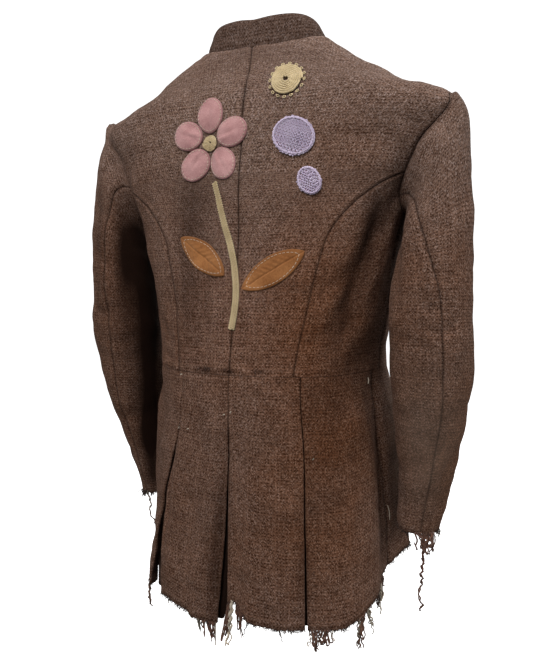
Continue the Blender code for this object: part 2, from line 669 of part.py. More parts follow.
def make_skirt(material, collection):
    """The skirt's panels and the strips behind its pleats; returns the torn edges by name."""
    seam = SKIRT_SIDE - SKIRT_SEAM_TURN
    front_seam = SKIRT_SIDE + SKIRT_SEAM_TURN
    front_edge = FRONT_TURN - SKIRT_FRONT_TURN
    panels = [
        ("back_left", CENTER_LEFT_EDGE, LEFT_INNER_EDGE, 8, CENTER_PLEAT_OPEN, LEFT_PLEAT_OPEN),
        ("back_right", RIGHT_INNER_EDGE, CENTER_RIGHT_EDGE, 8, RIGHT_PLEAT_OPEN,
         CENTER_PLEAT_OPEN),
        ("side_left", LEFT_OUTER_EDGE, constant(seam), 8, LEFT_PLEAT_OPEN, None),
        ("side_right", constant(-seam), RIGHT_OUTER_EDGE, 9, None, RIGHT_PLEAT_OPEN),
        ("front_left", constant(front_seam), constant(front_edge), 14, None, None),
        ("front_right", constant(-front_edge), constant(-front_seam), 14, None, None),
    ]
    edges = {panel[0]: skirt_panel("skirt_" + panel[0], *panel[1:], material, collection)
             for panel in panels}
    pleat_under("pleat_under_center", CENTER_RIGHT_EDGE, CENTER_LEFT_EDGE, CENTER_PLEAT_OPEN,
                material, collection)
    pleat_under("pleat_under_left", LEFT_INNER_EDGE, LEFT_OUTER_EDGE, LEFT_PLEAT_OPEN,
                material, collection)
    pleat_under("pleat_under_right", RIGHT_OUTER_EDGE, RIGHT_INNER_EDGE, RIGHT_PLEAT_OPEN,
                material, collection)
    return edges


def make_buttons(material, collection):
    """Flat buttons with a bevelled face, on the centre front line."""
    for number, level in enumerate(BUTTON_LEVELS, 1):
        shell = bmesh.new()
        bmesh.ops.create_cone(shell, cap_ends=True, segments=12, radius1=BUTTON_RADIUS,
                              radius2=BUTTON_RADIUS * BUTTON_FACE, depth=BUTTON_HEIGHT)
        away = Vector(outward(FRONT_TURN, level))
        seat = Vector(body(FRONT_TURN, level, LIFT + BUTTON_HEIGHT / 2))
        button = make_object(f"button_{number}", finish_mesh("button", shell), material,
                             collection)
        facing = away.to_track_quat("Z", "Y").to_matrix().to_4x4()
        button.matrix_world = Matrix.Translation(seat) @ facing


def grow_thread(shell, face, length, lean, forward, pieces):
    """Draw a thread out of a face of its strip: it hangs, leaning aside, and thins out."""
    along = (face.verts[1].co - face.verts[0].co).normalized()
    across = along.cross(Vector((0, 0, 1))).normalized()
    for piece in range(pieces):
        swing = math.radians(lean) * math.cos(math.pi * piece / pieces)
        tip = math.radians(forward) * math.sin(2.0 * piece)
        step = Vector((0, 0, -1)) + along * math.tan(swing) + across * math.tan(tip)
        step = step.normalized() * length / pieces
        grown = bmesh.ops.extrude_discrete_faces(shell, faces=[face])["faces"][0]
        center = grown.calc_center_median()
        shrink = THREAD_TIP ** (1 / pieces)
        for vert in grown.verts:
            vert.co = center + (vert.co - center) * shrink + step
        face = grown


def fringe_threads(fray, per_metre):
    """The hanging threads of a strip, and short ones at random places between them."""
    random.seed(fray.seed)
    threads = []
    for item in HANGING:
        if item.fray == fray.name:
            pieces = 4 if item.length > 0.03 else 2
            threads.append((item.place, item.width, item.length, item.lean, item.forward, pieces))
    spacing = (fray.last - fray.first) / fray.threads
    for number in range(fray.threads):
        place = fray.first + spacing * (number + random.uniform(0.25, 0.75))
        near = [abs(place - other[0]) < (THREAD * 1.5 + other[1]) * per_metre for other in threads]
        length = random.uniform(*SHORT_THREADS)
        lean = random.uniform(-35, 35)
        forward = random.uniform(-10, 10)
        if not any(near):
            threads.append((place, THREAD, length, lean, forward, 1))
    return sorted(threads)


def fringe(name, fray, skin_points, per_metre, corners, material, collection):
    """A strip under a torn edge, with threads drawn out of its lower rim.

    The corners are the places of the torn edge's own points, or None on a closed ring.
    """
    ring = corners is None
    threads = fringe_threads(fray, per_metre)
    places = []
    for place, width, *_ in threads:
        half = width * per_metre / 2
        places += [place - half, place + half]
    starts = set(places[::2])
    if not ring:
        inside = [(place - width * per_metre, place + width * per_metre)
                  for place, width, *_ in threads]
        free = [turn for turn in corners[1:-1] if not any(a < turn < b for a, b in inside)]
        places = sorted(places + free + [corners[0], corners[-1]])
    places = np.array(places)
    shell = bmesh.new()
    drops = (SEAM_GAP + FRINGE_STRIP, SEAM_GAP)
    skins = [np.array([skin_points(places, skin) - [0, 0, drop] for drop in drops])
             for skin in (0, 1)]
    rim = add_wall_faces(shell, skins[0], skins[1], ring)
    rooted = [face for face, place in zip(rim, places) if place in starts]
    for face, thread in zip(rooted, threads):
        grow_thread(shell, face, *thread[2:])
    make_object(name, finish_mesh(name, shell), material, collection)


def along_edge(edge):
    """Read the points of a torn edge's outer (0) or inner (1) skin at a turn."""
    order = np.argsort(edge.turns)

    def points(turn, skin):
        line = (edge.outer, edge.inner)[skin][order]
        return np.stack([np.interp(turn, edge.turns[order], line[:, axis])
                         for axis in range(3)], -1)
    return points


def make_hem_fringes(edges, material, collection):
    for fray in HEM_FRAYS:
        edge = edges[fray.name]
        middle = (fray.first + fray.last) / 2
        fringe("hem_fray_" + fray.name, fray, along_edge(edge),
               float(degrees_per_metre(middle, 0.02)), np.sort(edge.turns), material, collection)


def make_cuff_fringes(material, collection):
    per_metre = math.degrees(1 / SLEEVE[-1].deep)
    for fray, side in zip(CUFF_FRAYS, (1, -1)):
        fringe("cuff_fray_" + fray.name, fray,
               lambda angle, skin: mirrored(sleeve(angle, 1.0, CLOTH * skin, side), side),
               per_metre, None, material, collection)


def outline(kind, share, long, wide):
    """Edge of a cut-out piece round its middle: round, or a leaf with two points."""
    angle = 2 * np.pi * share
    thin = np.abs(np.sin(angle)) ** 0.5 if kind == "leaf" else 1.0
    return long * np.cos(angle), wide * np.sin(angle) * thin


def motif_points(motif, share, scale, out):
    """Points of a cut-out piece, laid on the back and moved out from it."""
    along, aside = outline(motif.kind, share, motif.long * scale, motif.wide * scale)
    turned = math.radians(motif.angle)
    x = motif.x + along * math.cos(turned) - aside * math.sin(turned)
    level = motif.level + along * math.sin(turned) + aside * math.cos(turned)
    return body(turn_at(x, level), level, out)


def make_motif(motif, material, collection):
    """A cut-out piece of thick cloth, highest in its middle."""
    share = np.arange(MOTIF_SPOKES) / MOTIF_SPOKES
    shell = bmesh.new()
    skins = []
    for face in (1, 0):
        rings = []
        for scale in (1.0, 0.6):
            out = LIFT + face * (motif.thick + motif.crown * (1 - scale**2))
            rings.append([shell.verts.new(p) for p in motif_points(motif, share, scale, out)])
        out = LIFT + face * (motif.thick + motif.crown)
        middle = shell.verts.new(motif_points(motif, np.zeros(1), 0.0, out)[0])
        for j in range(MOTIF_SPOKES):
            k = (j + 1) % MOTIF_SPOKES
            shell.faces.new((rings[0][j], rings[0][k], rings[1][k], rings[1][j]))
            shell.faces.new((rings[1][j], rings[1][k], middle))
        skins.append(rings[0])
    for j in range(MOTIF_SPOKES):
        k = (j + 1) % MOTIF_SPOKES
        shell.faces.new((skins[0][j], skins[0][k], skins[1][k], skins[1][j]))
    make_object("applique_" + motif.name, finish_mesh(motif.name, shell), material, collection)


def make_stem(material, collection):
    """The braid of the stem, a low ridge along a curve."""
    level = np.linspace(STEM[0][0], STEM[-1][0], 12)[:, None]
    aside = np.linspace(-STEM_WIDTH / 2, STEM_WIDTH / 2, 3)
    x = read(STEM, level) + aside
    level = np.broadcast_to(level, x.shape)
    ridge = STEM_THICK + STEM_CROWN * np.array([0, 1, 0])
    turn = turn_at(x, level)
    cloth_wall("applique_stem", body(turn, level, LIFT + ridge), body(turn, level, LIFT),
               material, collection)


def make_appliques(materials, collection):
    for number in range(PETALS):
        angle = 360 / PETALS * number + 90
        reach = Vector((math.cos(math.radians(angle)), math.sin(math.radians(angle))))
        petal = PETAL._replace(name=f"petal_{number + 1}", angle=angle,
                               x=FLOWER_X + reach.x * PETAL_DISTANCE,
                               level=FLOWER_LEVEL + reach.y * PETAL_DISTANCE)
        make_motif(petal, materials[petal.material], collection)
    for motif in MOTIFS:
        make_motif(motif, materials[motif.material], collection)
    make_stem(materials["gold"], collection)


def new_material(name, color, roughness=0.9):
    material = bpy.data.materials.new(name)
    material.use_nodes = True
    shader = material.node_tree.nodes["Principled BSDF"]
    shader.inputs["Base Color"].default_value = color
    shader.inputs["Roughness"].default_value = roughness
    shader.inputs["Metallic"].default_value = 0.0
    material.diffuse_color = color
    return material


def clear_scene():
    for item in list(bpy.data.objects):
        bpy.data.objects.remove(item, do_unlink=True)


def main():
    clear_scene()
    jacket = bpy.data.collections.new("Military jacket")
    bpy.context.scene.collection.children.link(jacket)
    wool = new_material("Brown wool", WOOL)
    make_bodice(wool, jacket)
    make_collar(wool, jacket)
    make_sleeves(wool, jacket)
    edges = make_skirt(wool, jacket)
    torn_wool = new_material("Torn wool", TORN)
    make_hem_fringes(edges, torn_wool, jacket)
    make_cuff_fringes(torn_wool, jacket)
    make_buttons(new_material("Horn", HORN, 0.4), jacket)
    sewn = {
        "pink": new_material("Dusty pink cloth", PINK),
        "suede": new_material("Tan suede", SUEDE),
        "lilac": new_material("Lilac knit", LILAC),
        "gold": new_material("Gold braid", GOLD, 0.7),
    }
    make_appliques(sewn, jacket)


main()
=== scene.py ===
"""Looks of a worn military jacket of brown wool: weave, folds, seams, fray and sewn-on pieces.

Metres, +Z up, as in the frame. A place on the body is given by its turn, in degrees from the
centre back towards the wearer's left (+X), and by its level, in metres above the hem.
"""
import math
from collections import namedtuple

import bmesh
import bpy
import numpy as np
from mathutils import Matrix, Vector


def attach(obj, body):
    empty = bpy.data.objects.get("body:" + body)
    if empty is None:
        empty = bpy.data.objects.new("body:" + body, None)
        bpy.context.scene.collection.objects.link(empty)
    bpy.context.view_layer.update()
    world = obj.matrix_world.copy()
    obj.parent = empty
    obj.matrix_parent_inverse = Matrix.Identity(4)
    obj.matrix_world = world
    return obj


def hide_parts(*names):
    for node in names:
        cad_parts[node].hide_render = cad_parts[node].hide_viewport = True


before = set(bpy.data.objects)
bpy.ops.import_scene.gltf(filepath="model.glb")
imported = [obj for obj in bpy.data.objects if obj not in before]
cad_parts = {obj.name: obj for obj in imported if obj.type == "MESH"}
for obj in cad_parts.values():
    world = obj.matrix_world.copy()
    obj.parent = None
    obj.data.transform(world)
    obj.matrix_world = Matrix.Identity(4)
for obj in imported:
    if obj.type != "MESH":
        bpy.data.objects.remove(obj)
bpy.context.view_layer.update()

# Cloth
CLOTH = 0.0016
LIFT = 0.0006
CLOTH_STEP = 0.0042
SEAM_STEPS = np.array([0.0, 0.0010, 0.0022, 0.0038, 0.0060])

# How a seam draws the cloth in beside it, and the soft swell next to that
SEAM_SINK = 0.0010
SEAM_REACH = 0.0022
SEAM_SWELL = 0.0006
SEAM_SWELL_AT = 0.0075
SEAM_SWELL_REACH = 0.004
SEAM_LINE = 0.0014
WAIST_SEAM_SHARE = 0.40

# Seam allowances inside the bodice: half their width, the gap behind the cloth, and thickness
ALLOWANCE = 0.007
ALLOWANCE_GAP = 0.0003
ALLOWANCE_CLOTH = 0.0012

# Levels on the body, in metres above the hem along the centre back
HEM_DROP = 0.7225
WAIST_LEVEL = 0.309
UNDERARM_LEVEL = 0.507
SHOULDER_LEVEL = 0.656
NECK_LEVEL = 0.7225

# Guide rings of the body, from the hem to the neck, as in the solids
Section = namedtuple("Section", "level z_side z_front y_mid half back front square")
BODY = [
    Section(0.0000, -0.718, -0.712, -0.033, 0.180, 0.169, 0.112, 2.3),
    Section(0.1150, -0.605, -0.603, -0.038, 0.172, 0.166, 0.105, 2.3),
    Section(0.2150, -0.506, -0.505, -0.025, 0.164, 0.146, 0.105, 2.3),
    Section(0.3090, -0.413, -0.413, -0.017, 0.150, 0.132, 0.098, 2.3),
    Section(0.3900, -0.332, -0.332, -0.012, 0.163, 0.114, 0.108, 2.3),
    Section(0.5070, -0.215, -0.215, 0.003, 0.187, 0.083, 0.128, 2.5),
    Section(0.5900, -0.140, -0.150, 0.005, 0.216, 0.073, 0.115, 2.6),
    Section(0.6560, -0.078, -0.112, 0.009, 0.244, 0.058, 0.098, 2.5),
    Section(0.6980, -0.043, -0.086, 0.006, 0.166, 0.044, 0.077, 2.2),
    Section(0.7225, 0.009, -0.058, 0.004, 0.083, 0.040, 0.068, 2.0),
]

# Armhole: a D-shaped hole about the side line
SIDE_TURN = 90.0
FRONT_TURN = 180.0
ARMHOLE_BACK = 17.0
ARMHOLE_FRONT = 36.0
ARMHOLE_POWER = 2.3
HEAD_BLEND = 0.14
HEAD_GATHER = 0.0011
HEAD_PUFF = 0.0100
HEAD_GAP = 0.0003

# Princess seam of the back, as (level, turn)
PRINCESS = [(0.309, 29.0), (0.390, 31.5), (0.440, 33.0), (0.485, 36.0), (0.510, 42.0),
            (0.528, 49.0), (0.541, 56.0), (0.550, 63.0), (0.556, 70.0)]
PRINCESS_TOP = 0.556

# The left front laps over the right one
LAP = 9.0
LAP_START = 150.0
LAP_DEPTH = 0.0026

# Collar
COLLAR_HEIGHT = 0.037
COLLAR_LEAN = 0.012
COLLAR_DROP = 0.017
COLLAR_DROP_TURNS = (20.0, 110.0)
COLLAR_OPENING = 4.0
COLLAR_SEAT = 0.0020
COLLAR_BULGE = 0.0012
# The whole collar's colour is darkened evenly by this tone
COLLAR_TONE = -0.52

# Sleeve: rings from the armhole to the cuff, for the wearer's left side
SleeveRing = namedtuple("SleeveRing", "run x y z tilt wide deep")
SLEEVE = [
    SleeveRing(0.00, 0.2165, -0.020, -0.1455, 21.0, 0.0755, 0.050),
    SleeveRing(0.05, 0.2205, -0.019, -0.1460, 21.2, 0.0780, 0.055),
    SleeveRing(0.10, 0.2238, -0.016, -0.1540, 24.0, 0.0783, 0.057),
    SleeveRing(0.16, 0.2256, -0.012, -0.1680, 28.2, 0.0756, 0.058),
    SleeveRing(0.23, 0.2264, -0.006, -0.1925, 36.8, 0.0650, 0.058),
    SleeveRing(0.30, 0.2268, 0.000, -0.2230, 51.5, 0.0535, 0.056),
    SleeveRing(0.37, 0.2260, 0.005, -0.2575, 74.0, 0.0478, 0.053),
    SleeveRing(0.47, 0.2240, 0.009, -0.3100, 90.0, 0.0492, 0.051),
    SleeveRing(0.59, 0.2240, 0.006, -0.3800, 90.0, 0.0512, 0.049),
    SleeveRing(0.70, 0.2220, -0.007, -0.4500, 92.0, 0.0472, 0.047),
    SleeveRing(0.82, 0.2152, -0.024, -0.5160, 93.0, 0.0392, 0.043),
    SleeveRing(0.92, 0.2088, -0.037, -0.5730, 94.0, 0.0316, 0.039),
    SleeveRing(1.00, 0.2026, -0.041, -0.6170, 97.0, 0.0263, 0.035),
]

# How far back the wearer's right forearm is carried, by run along the sleeve
RIGHT_CARRIED_BACK = [(0.0, 0.0), (0.55, 0.0), (0.70, 0.003), (0.82, 0.006), (0.92, 0.009),
                      (1.0, 0.011)]
SLEEVE_SEAM_ANGLE = 0.25
SLEEVE_LENGTH = 0.56
SLEEVE_RADIUS = 0.055

# Seams along the sleeve as (run, angle): 0 outside, 90 behind, 180 inside, 270 in front
HIND_SEAM_LEFT = [(0.0, 108.0), (0.10, 103.0), (0.22, 99.0), (0.30, 91.0), (0.42, 86.0),
                  (0.56, 89.0), (0.65, 88.0), (0.74, 82.0), (1.0, 78.0)]
HIND_SEAM_RIGHT = [(0.0, 136.0), (0.085, 127.0), (0.20, 112.0), (0.32, 96.0), (0.41, 78.0),
                   (0.47, 66.0), (0.59, 61.5), (0.78, 61.6), (0.89, 66.0), (1.0, 67.0)]
FORE_SEAM = [(0.0, 240.0), (0.3, 232.0), (1.0, 228.0)]

# Skirt: the fold of a pleat, and the edges of the panels beside each pleat
SEAM_GAP = 0.0004
FOLD_RADIUS = 0.0006
FOLD_RETURN = 0.018
FOLD_ANGLES = [-90, -60, -30, 0, 30, 60, 90]
CENTER_RIGHT_EDGE = [(0.0, -0.70), (0.10, -0.30), (0.26, -0.06), (0.309, -0.06)]
CENTER_LEFT_EDGE = [(0.0, 2.20), (0.10, 0.80), (0.26, 0.06), (0.309, 0.06)]
RIGHT_INNER_EDGE = [(0.0, -31.0), (0.16, -31.4), (0.309, -32.4)]
RIGHT_OUTER_EDGE = [(0.0, -32.0), (0.16, -31.9), (0.309, -32.8)]
LEFT_INNER_EDGE = [(0.0, 34.5), (0.08, 36.0), (0.134, 34.6), (0.174, 31.0), (0.224, 27.2),
                   (0.264, 25.6), (0.309, 25.6)]
LEFT_OUTER_EDGE = [(0.0, 53.0), (0.06, 47.5), (0.116, 40.7), (0.174, 32.6), (0.224, 27.8),
                   (0.264, 26.0), (0.309, 26.0)]
SKIRT_SIDE = 84.0
SKIRT_SEAM_TURN = 0.1
SKIRT_FRONT_TURN = 0.2
SKIRT_ROWS = 66
SKIRT_WIDTH_LEVEL = 0.1
PRESSED_FROM = 0.70
PRESSED_OVER = 0.15
CENTER_PLEAT_OPEN = 10
LEFT_PLEAT_OPEN = 26
RIGHT_PLEAT_OPEN = 3
UNDERLAY_RISE = 0.002
# Painted shade: the strips behind the pleats are darkened to read as the shadowed gap of each pleat,
# and the seam allowances inside the bodice by half as much
UNDERLAY_PAINTED_SHADE = -0.80

# Torn hem: its level by turn, and how deep its small notches go
HEM_LOWEST = 0.0005
HEM = [(-180, 0.012), (-150, 0.010), (-120, 0.050), (-100, 0.060), (-80, 0.043), (-62, 0.013),
       (-51, 0.001), (-33, 0.004), (-18, 0.005), (-8, 0.010), (-0.7, 0.024), (1.0, 0.002),
       (16, 0.008), (33, 0.012), (44, 0.004), (53, 0.000), (75, 0.010), (100, 0.016),
       (150, 0.008), (180, 0.012)]
NOTCH_DEPTH = 0.0030
NOTCH_REACH = 0.006
FRAY_REACH = 0.004

# Soft flutes of the skirt and soft folds of the bodice, as in the solids
Flute = namedtuple("Flute", "turn width out")
FLUTES = [
    Flute(-80, 9, -0.013),
    Flute(-106, 13, 0.010),
    Flute(-132, 11, -0.008),
    Flute(82, 9, -0.010),
    Flute(107, 13, 0.009),
    Flute(133, 11, -0.008),
]
SoftFold = namedtuple("SoftFold", "low_level low_turn high_level high_turn width out")
SOFT_FOLDS = [
    SoftFold(0.335, 8.5, 0.600, 9.5, 6.5, -0.0030),
    SoftFold(0.325, -44.0, 0.498, -63.0, 6.0, -0.0055),
    SoftFold(0.345, -60.0, 0.505, -74.0, 5.5, 0.0040),
    SoftFold(0.340, 58.0, 0.490, 70.0, 7.0, -0.0040),
    SoftFold(0.200, -104.0, 0.460, -104.0, 14.0, 0.0050),
    SoftFold(0.100, -106.0, 0.360, -106.0, 13.0, 0.0110),
    SoftFold(0.585, 88.0, 0.718, 80.0, 26.0, -0.0100),
]

# Creases of the body: ends as (turn, level), a middle point, width and how far out, in metres
Crease = namedtuple("Crease", "start middle end width out")
BODY_CREASES = [Crease(*row) for row in (
    ((0.6, 0.24), (1.2, 0.12), (2.4, 0.0), 0.005, -0.004),
    ((5.0, 0.25), (6.0, 0.12), (8.0, 0.0), 0.012, 0.003),
    ((-32.0, 0.2), (-31.4, 0.11), (-31.2, 0.0), 0.004, -0.003),
    ((26.6, 0.25), (31.0, 0.15), (36.0, 0.02), 0.004, -0.003),
    ((6, 0.64), (9, 0.54), (12, 0.43), 0.01, -0.0042),
    ((12, 0.46), (12.5, 0.4), (11, 0.335), 0.009, -0.003),
    ((20, 0.62), (21, 0.54), (24, 0.44), 0.014, 0.003),
    ((-62, 0.53), (-62, 0.45), (-56, 0.37), 0.011, -0.0066),
    ((-86, 0.52), (-93, 0.49), (-98, 0.462), 0.012, 0.003),
    ((-68, 0.4), (-57, 0.366), (-43, 0.338), 0.009, -0.004),
    ((-75, 0.545), (-72, 0.5), (-74, 0.44), 0.008, -0.004),
    ((-74, 0.52), (-76, 0.46), (-74, 0.38), 0.012, 0.0034),
    ((-40, 0.35), (-41, 0.341), (-43, 0.33), 0.003, -0.0016),
    ((-2, 0.33), (-10, 0.322), (-22, 0.326), 0.007, -0.0022),
    ((-18, 0.309), (-22, 0.3), (-28, 0.29), 0.003, -0.0016),
    ((-16, 0.306), (-19, 0.294), (-23, 0.283), 0.003, 0.0014),
    ((-86, 0.305), (-84, 0.23), (-80, 0.12), 0.008, -0.006),
    ((-26, 0.64), (-29, 0.6), (-32, 0.56), 0.012, 0.0022),
    ((-8, 0.316), (-16, 0.3125), (-26, 0.316), 0.004, -0.002),
    ((-14, 0.303), (-20, 0.297), (-28, 0.301), 0.005, -0.0018),
    ((-29, 0.345), (-38, 0.352), (-50, 0.372), 0.008, -0.0026),
    ((-33, 0.328), (-43, 0.331), (-56, 0.345), 0.006, -0.0022),
    ((-34, 0.4), (-46, 0.425), (-60, 0.47), 0.011, -0.003),
    ((-40, 0.39), (-52, 0.412), (-66, 0.452), 0.01, 0.0022),
    ((8, 0.356), (18, 0.338), (27, 0.33), 0.008, -0.0024),
    ((2, 0.338), (12, 0.325), (22, 0.318), 0.006, -0.002),
    ((30, 0.34), (42, 0.352), (56, 0.38), 0.009, -0.0026),
    ((31, 0.324), (42, 0.327), (52, 0.334), 0.006, -0.002),
    ((22, 0.43), (20, 0.5), (26, 0.56), 0.013, -0.0026),
    ((14, 0.42), (15, 0.5), (18, 0.57), 0.012, 0.0018),
    ((-16, 0.39), (-13, 0.45), (-16, 0.52), 0.014, -0.0018),
    ((-4, 0.56), (-22, 0.59), (-46, 0.6), 0.013, -0.0022),
    ((-50, 0.6), (-62, 0.585), (-72, 0.56), 0.01, -0.003),
    ((-44, 0.575), (-58, 0.56), (-68, 0.54), 0.009, 0.002),
    ((46, 0.6), (58, 0.585), (70, 0.555), 0.01, -0.003),
    ((40, 0.575), (52, 0.56), (64, 0.535), 0.009, 0.0018),
    ((-12, 0.7), (-40, 0.69), (-66, 0.675), 0.01, -0.0018),
    ((12, 0.7), (40, 0.69), (66, 0.675), 0.01, -0.0016),
    ((6, 0.655), (26, 0.64), (52, 0.632), 0.013, -0.0018),
    ((102, 0.33), (118, 0.35), (132, 0.38), 0.01, -0.0026),
    ((100, 0.42), (112, 0.455), (122, 0.5), 0.012, -0.0028),
    ((128, 0.56), (140, 0.59), (150, 0.63), 0.012, -0.0024),
    ((150, 0.325), (160, 0.335), (170, 0.35), 0.009, -0.0018),
    ((-102, 0.33), (-118, 0.35), (-132, 0.38), 0.01, -0.0026),
    ((-100, 0.42), (-114, 0.45), (-124, 0.49), 0.012, -0.0028),
    ((-128, 0.56), (-140, 0.585), (-152, 0.62), 0.012, -0.0024),
    ((-150, 0.328), (-160, 0.34), (-168, 0.36), 0.009, -0.0018),
    ((-40, 0.295), (-44, 0.24), (-42, 0.18), 0.012, 0.0022),
    ((-52, 0.29), (-56, 0.22), (-60, 0.12), 0.014, -0.003),
    ((-66, 0.285), (-72, 0.2), (-74, 0.08), 0.015, 0.0028),
    ((-16, 0.28), (-17, 0.2), (-15, 0.06), 0.014, -0.0024),
    ((-24, 0.18), (-24, 0.11), (-26, 0.03), 0.012, 0.002),
    ((14, 0.29), (15, 0.2), (18, 0.06), 0.014, -0.0024),
    ((24, 0.15), (26, 0.09), (28, 0.02), 0.012, 0.0022),
    ((45, 0.285), (52, 0.2), (60, 0.08), 0.014, -0.0028),
    ((62, 0.285), (68, 0.2), (72, 0.06), 0.014, 0.0028),
    ((120, 0.28), (124, 0.18), (120, 0.06), 0.016, -0.003),
    ((150, 0.27), (152, 0.17), (150, 0.04), 0.016, 0.0024),
    ((-120, 0.28), (-124, 0.19), (-120, 0.09), 0.016, -0.003),
    ((-150, 0.27), (-152, 0.17), (-150, 0.04), 0.016, 0.0024),
)]

# Painted shade and painted light on the cloth, as patches: darker where shade falls under the arms,
# between the left sleeve and the body, beside folds and pleats and in the gaps of the waist seam,
# and paler as painted light; tone is below 0 for painted shade. On a sleeve the turn is the angle
# round it and the level is the run along it
ShadeAndLightPatch = namedtuple("ShadeAndLightPatch", "turn level reach height tone side")
BODY_PAINTED_SHADE_AND_LIGHT = [ShadeAndLightPatch(*row) for row in (
    (-60, 0.5, 0.013, 0.045, -0.6, 1),
    (-61, 0.455, 0.013, 0.045, -0.65, 1),
    (-56, 0.415, 0.013, 0.04, -0.45, 1),
    (-51, 0.385, 0.014, 0.035, -0.5, 1),
    (-50, 0.335, 0.018, 0.035, -0.25, 1),
    (-74, 0.54, 0.026, 0.045, -0.5, 1),
    (-80, 0.44, 0.011, 0.05, 0.22, 1),
    (-36, 0.21, 0.012, 0.16, -0.18, 1),
    (-45, 0.23, 0.014, 0.08, -0.1, 1),
    (-56, 0.27, 0.045, 0.07, -0.24, 1),
    (-102, 0.225, 0.024, 0.09, 0.6, 1),
    (11.2, 0.3145, 0.012, 0.004, -0.8, 1),
    (0.2, 0.3145, 0.007, 0.0036, -0.8, 1),
    (-11.4, 0.3145, 0.008, 0.004, -0.8, 1),
    (19, 0.5, 0.02, 0.09, -0.3, 1),
    (22, 0.4, 0.02, 0.07, -0.3, 1),
    (1.4, 0.15, 0.011, 0.06, -0.45, 1),
    (3.0, 0.06, 0.014, 0.07, -0.6, 1),
    (-30.5, 0.07, 0.01, 0.09, -0.35, 1),
    (14, 0.52, 0.022, 0.07, -0.3, 1),
    (13, 0.4, 0.018, 0.06, -0.2, 1),
)]
# Painted shade on the sleeves: the dark wedge between the left sleeve and the body, and the shade
# under the arms; painted light where the right sleeve is paler
SLEEVE_PAINTED_SHADE_AND_LIGHT = [ShadeAndLightPatch(*row) for row in (
    (170, 0.36, 0.021, 0.05, -0.9, 1),
    (165, 0.48, 0.023, 0.055, -0.95, 1),
    (157, 0.6, 0.023, 0.055, -0.95, 1),
    (146, 0.72, 0.022, 0.055, -0.9, 1),
    (124, 0.87, 0.018, 0.05, -0.8, 1),
    (148, 0.2, 0.02, 0.05, -0.6, 1),
    (127, 0.26, 0.018, 0.06, -0.38, 1),
    (134, 0.82, 0.016, 0.04, -0.8, 1),
    (114, 0.96, 0.012, 0.03, -0.65, 1),
    (75, 0.28, 0.011, 0.08, -0.32, 1),
    (72, 0.48, 0.011, 0.09, -0.32, 1),
    (126, 0.36, 0.02, 0.06, -0.5, 1),
    (122, 0.48, 0.019, 0.06, -0.42, 1),
    (116, 0.6, 0.018, 0.06, -0.28, 1),
    (165, 0.2, 0.012, 0.04, -0.5, -1),
    (128, 0.085, 0.01, 0.024, 0.22, -1),
    (50, 0.8, 0.04, 0.1, 0.2, -1),
    (96, 0.78, 0.03, 0.09, 0.17, -1),
)]

# Creases of a sleeve: ends as (angle, run)
SLEEVE_CREASES_RIGHT = [Crease(*row) for row in (
    ((64, 0.03), (57, 0.11), (50, 0.2), 0.006, -0.0038),
    ((76, 0.05), (68, 0.12), (62, 0.2), 0.007, 0.0022),
    ((88, 0.508), (76, 0.505), (60, 0.512), 0.0035, -0.0022),
    ((150, 0.28), (146, 0.4), (140, 0.5), 0.012, -0.004),
    ((132, 0.07), (124, 0.2), (113, 0.38), 0.018, 0.01),
    ((30, 0.52), (62, 0.555), (100, 0.54), 0.007, -0.003),
    ((70, 0.6), (110, 0.57), (160, 0.56), 0.008, -0.003),
    ((-60, 0.56), (-100, 0.575), (-150, 0.56), 0.009, -0.0034),
    ((-50, 0.5), (-90, 0.5), (-140, 0.52), 0.009, -0.003),
    ((20, 0.76), (48, 0.82), (75, 0.9), 0.008, 0.0022),
    ((8, 0.79), (38, 0.85), (62, 0.93), 0.007, -0.0022),
    ((-20, 0.68), (10, 0.72), (40, 0.7), 0.01, -0.0022),
    ((60, 0.2), (95, 0.24), (150, 0.25), 0.01, -0.0028),
    ((40, 0.32), (80, 0.34), (130, 0.32), 0.011, -0.0026),
    ((-30, 0.16), (-70, 0.2), (-110, 0.24), 0.011, -0.0028),
    ((-20, 0.3), (-60, 0.34), (-120, 0.32), 0.011, -0.0026),
    ((10, 0.4), (50, 0.44), (85, 0.42), 0.01, -0.0018),
    ((80, 0.7), (120, 0.73), (170, 0.7), 0.01, -0.0026),
    ((100, 0.84), (140, 0.86), (190, 0.84), 0.009, -0.002),
    ((-40, 0.86), (-80, 0.88), (-120, 0.86), 0.009, -0.002),
)]
SLEEVE_CREASES_LEFT = [Crease(*row) for row in (
    ((64, 0.01), (70, 0.05), (84, 0.09), 0.005, -0.004),
    ((120, 0.1), (128, 0.24), (132, 0.4), 0.012, -0.0044),
    ((130, 0.245), (128, 0.258), (129, 0.272), 0.004, -0.003),
    ((40, 0.5), (75, 0.53), (115, 0.51), 0.008, -0.003),
    ((60, 0.58), (100, 0.6), (150, 0.58), 0.008, -0.0028),
    ((-60, 0.55), (-100, 0.56), (-150, 0.55), 0.009, -0.0034),
    ((30, 0.22), (70, 0.27), (120, 0.26), 0.011, -0.003),
    ((50, 0.13), (80, 0.16), (120, 0.17), 0.008, 0.0022),
    ((45, 0.36), (85, 0.4), (130, 0.38), 0.011, -0.0026),
    ((-30, 0.18), (-70, 0.22), (-110, 0.24), 0.011, -0.0028),
    ((-20, 0.68), (20, 0.7), (60, 0.67), 0.01, -0.0022),
    ((40, 0.76), (80, 0.79), (130, 0.77), 0.009, -0.0024),
    ((20, 0.86), (60, 0.89), (100, 0.87), 0.008, -0.002),
    ((-30, 0.8), (-70, 0.83), (-120, 0.8), 0.01, -0.0024),
)]

# Uneven lie of the cloth: wavelength and depth
RIPPLES = [(0.090, 0.0011), (0.048, 0.0006), (0.024, 0.00028), (0.013, 0.00014)]

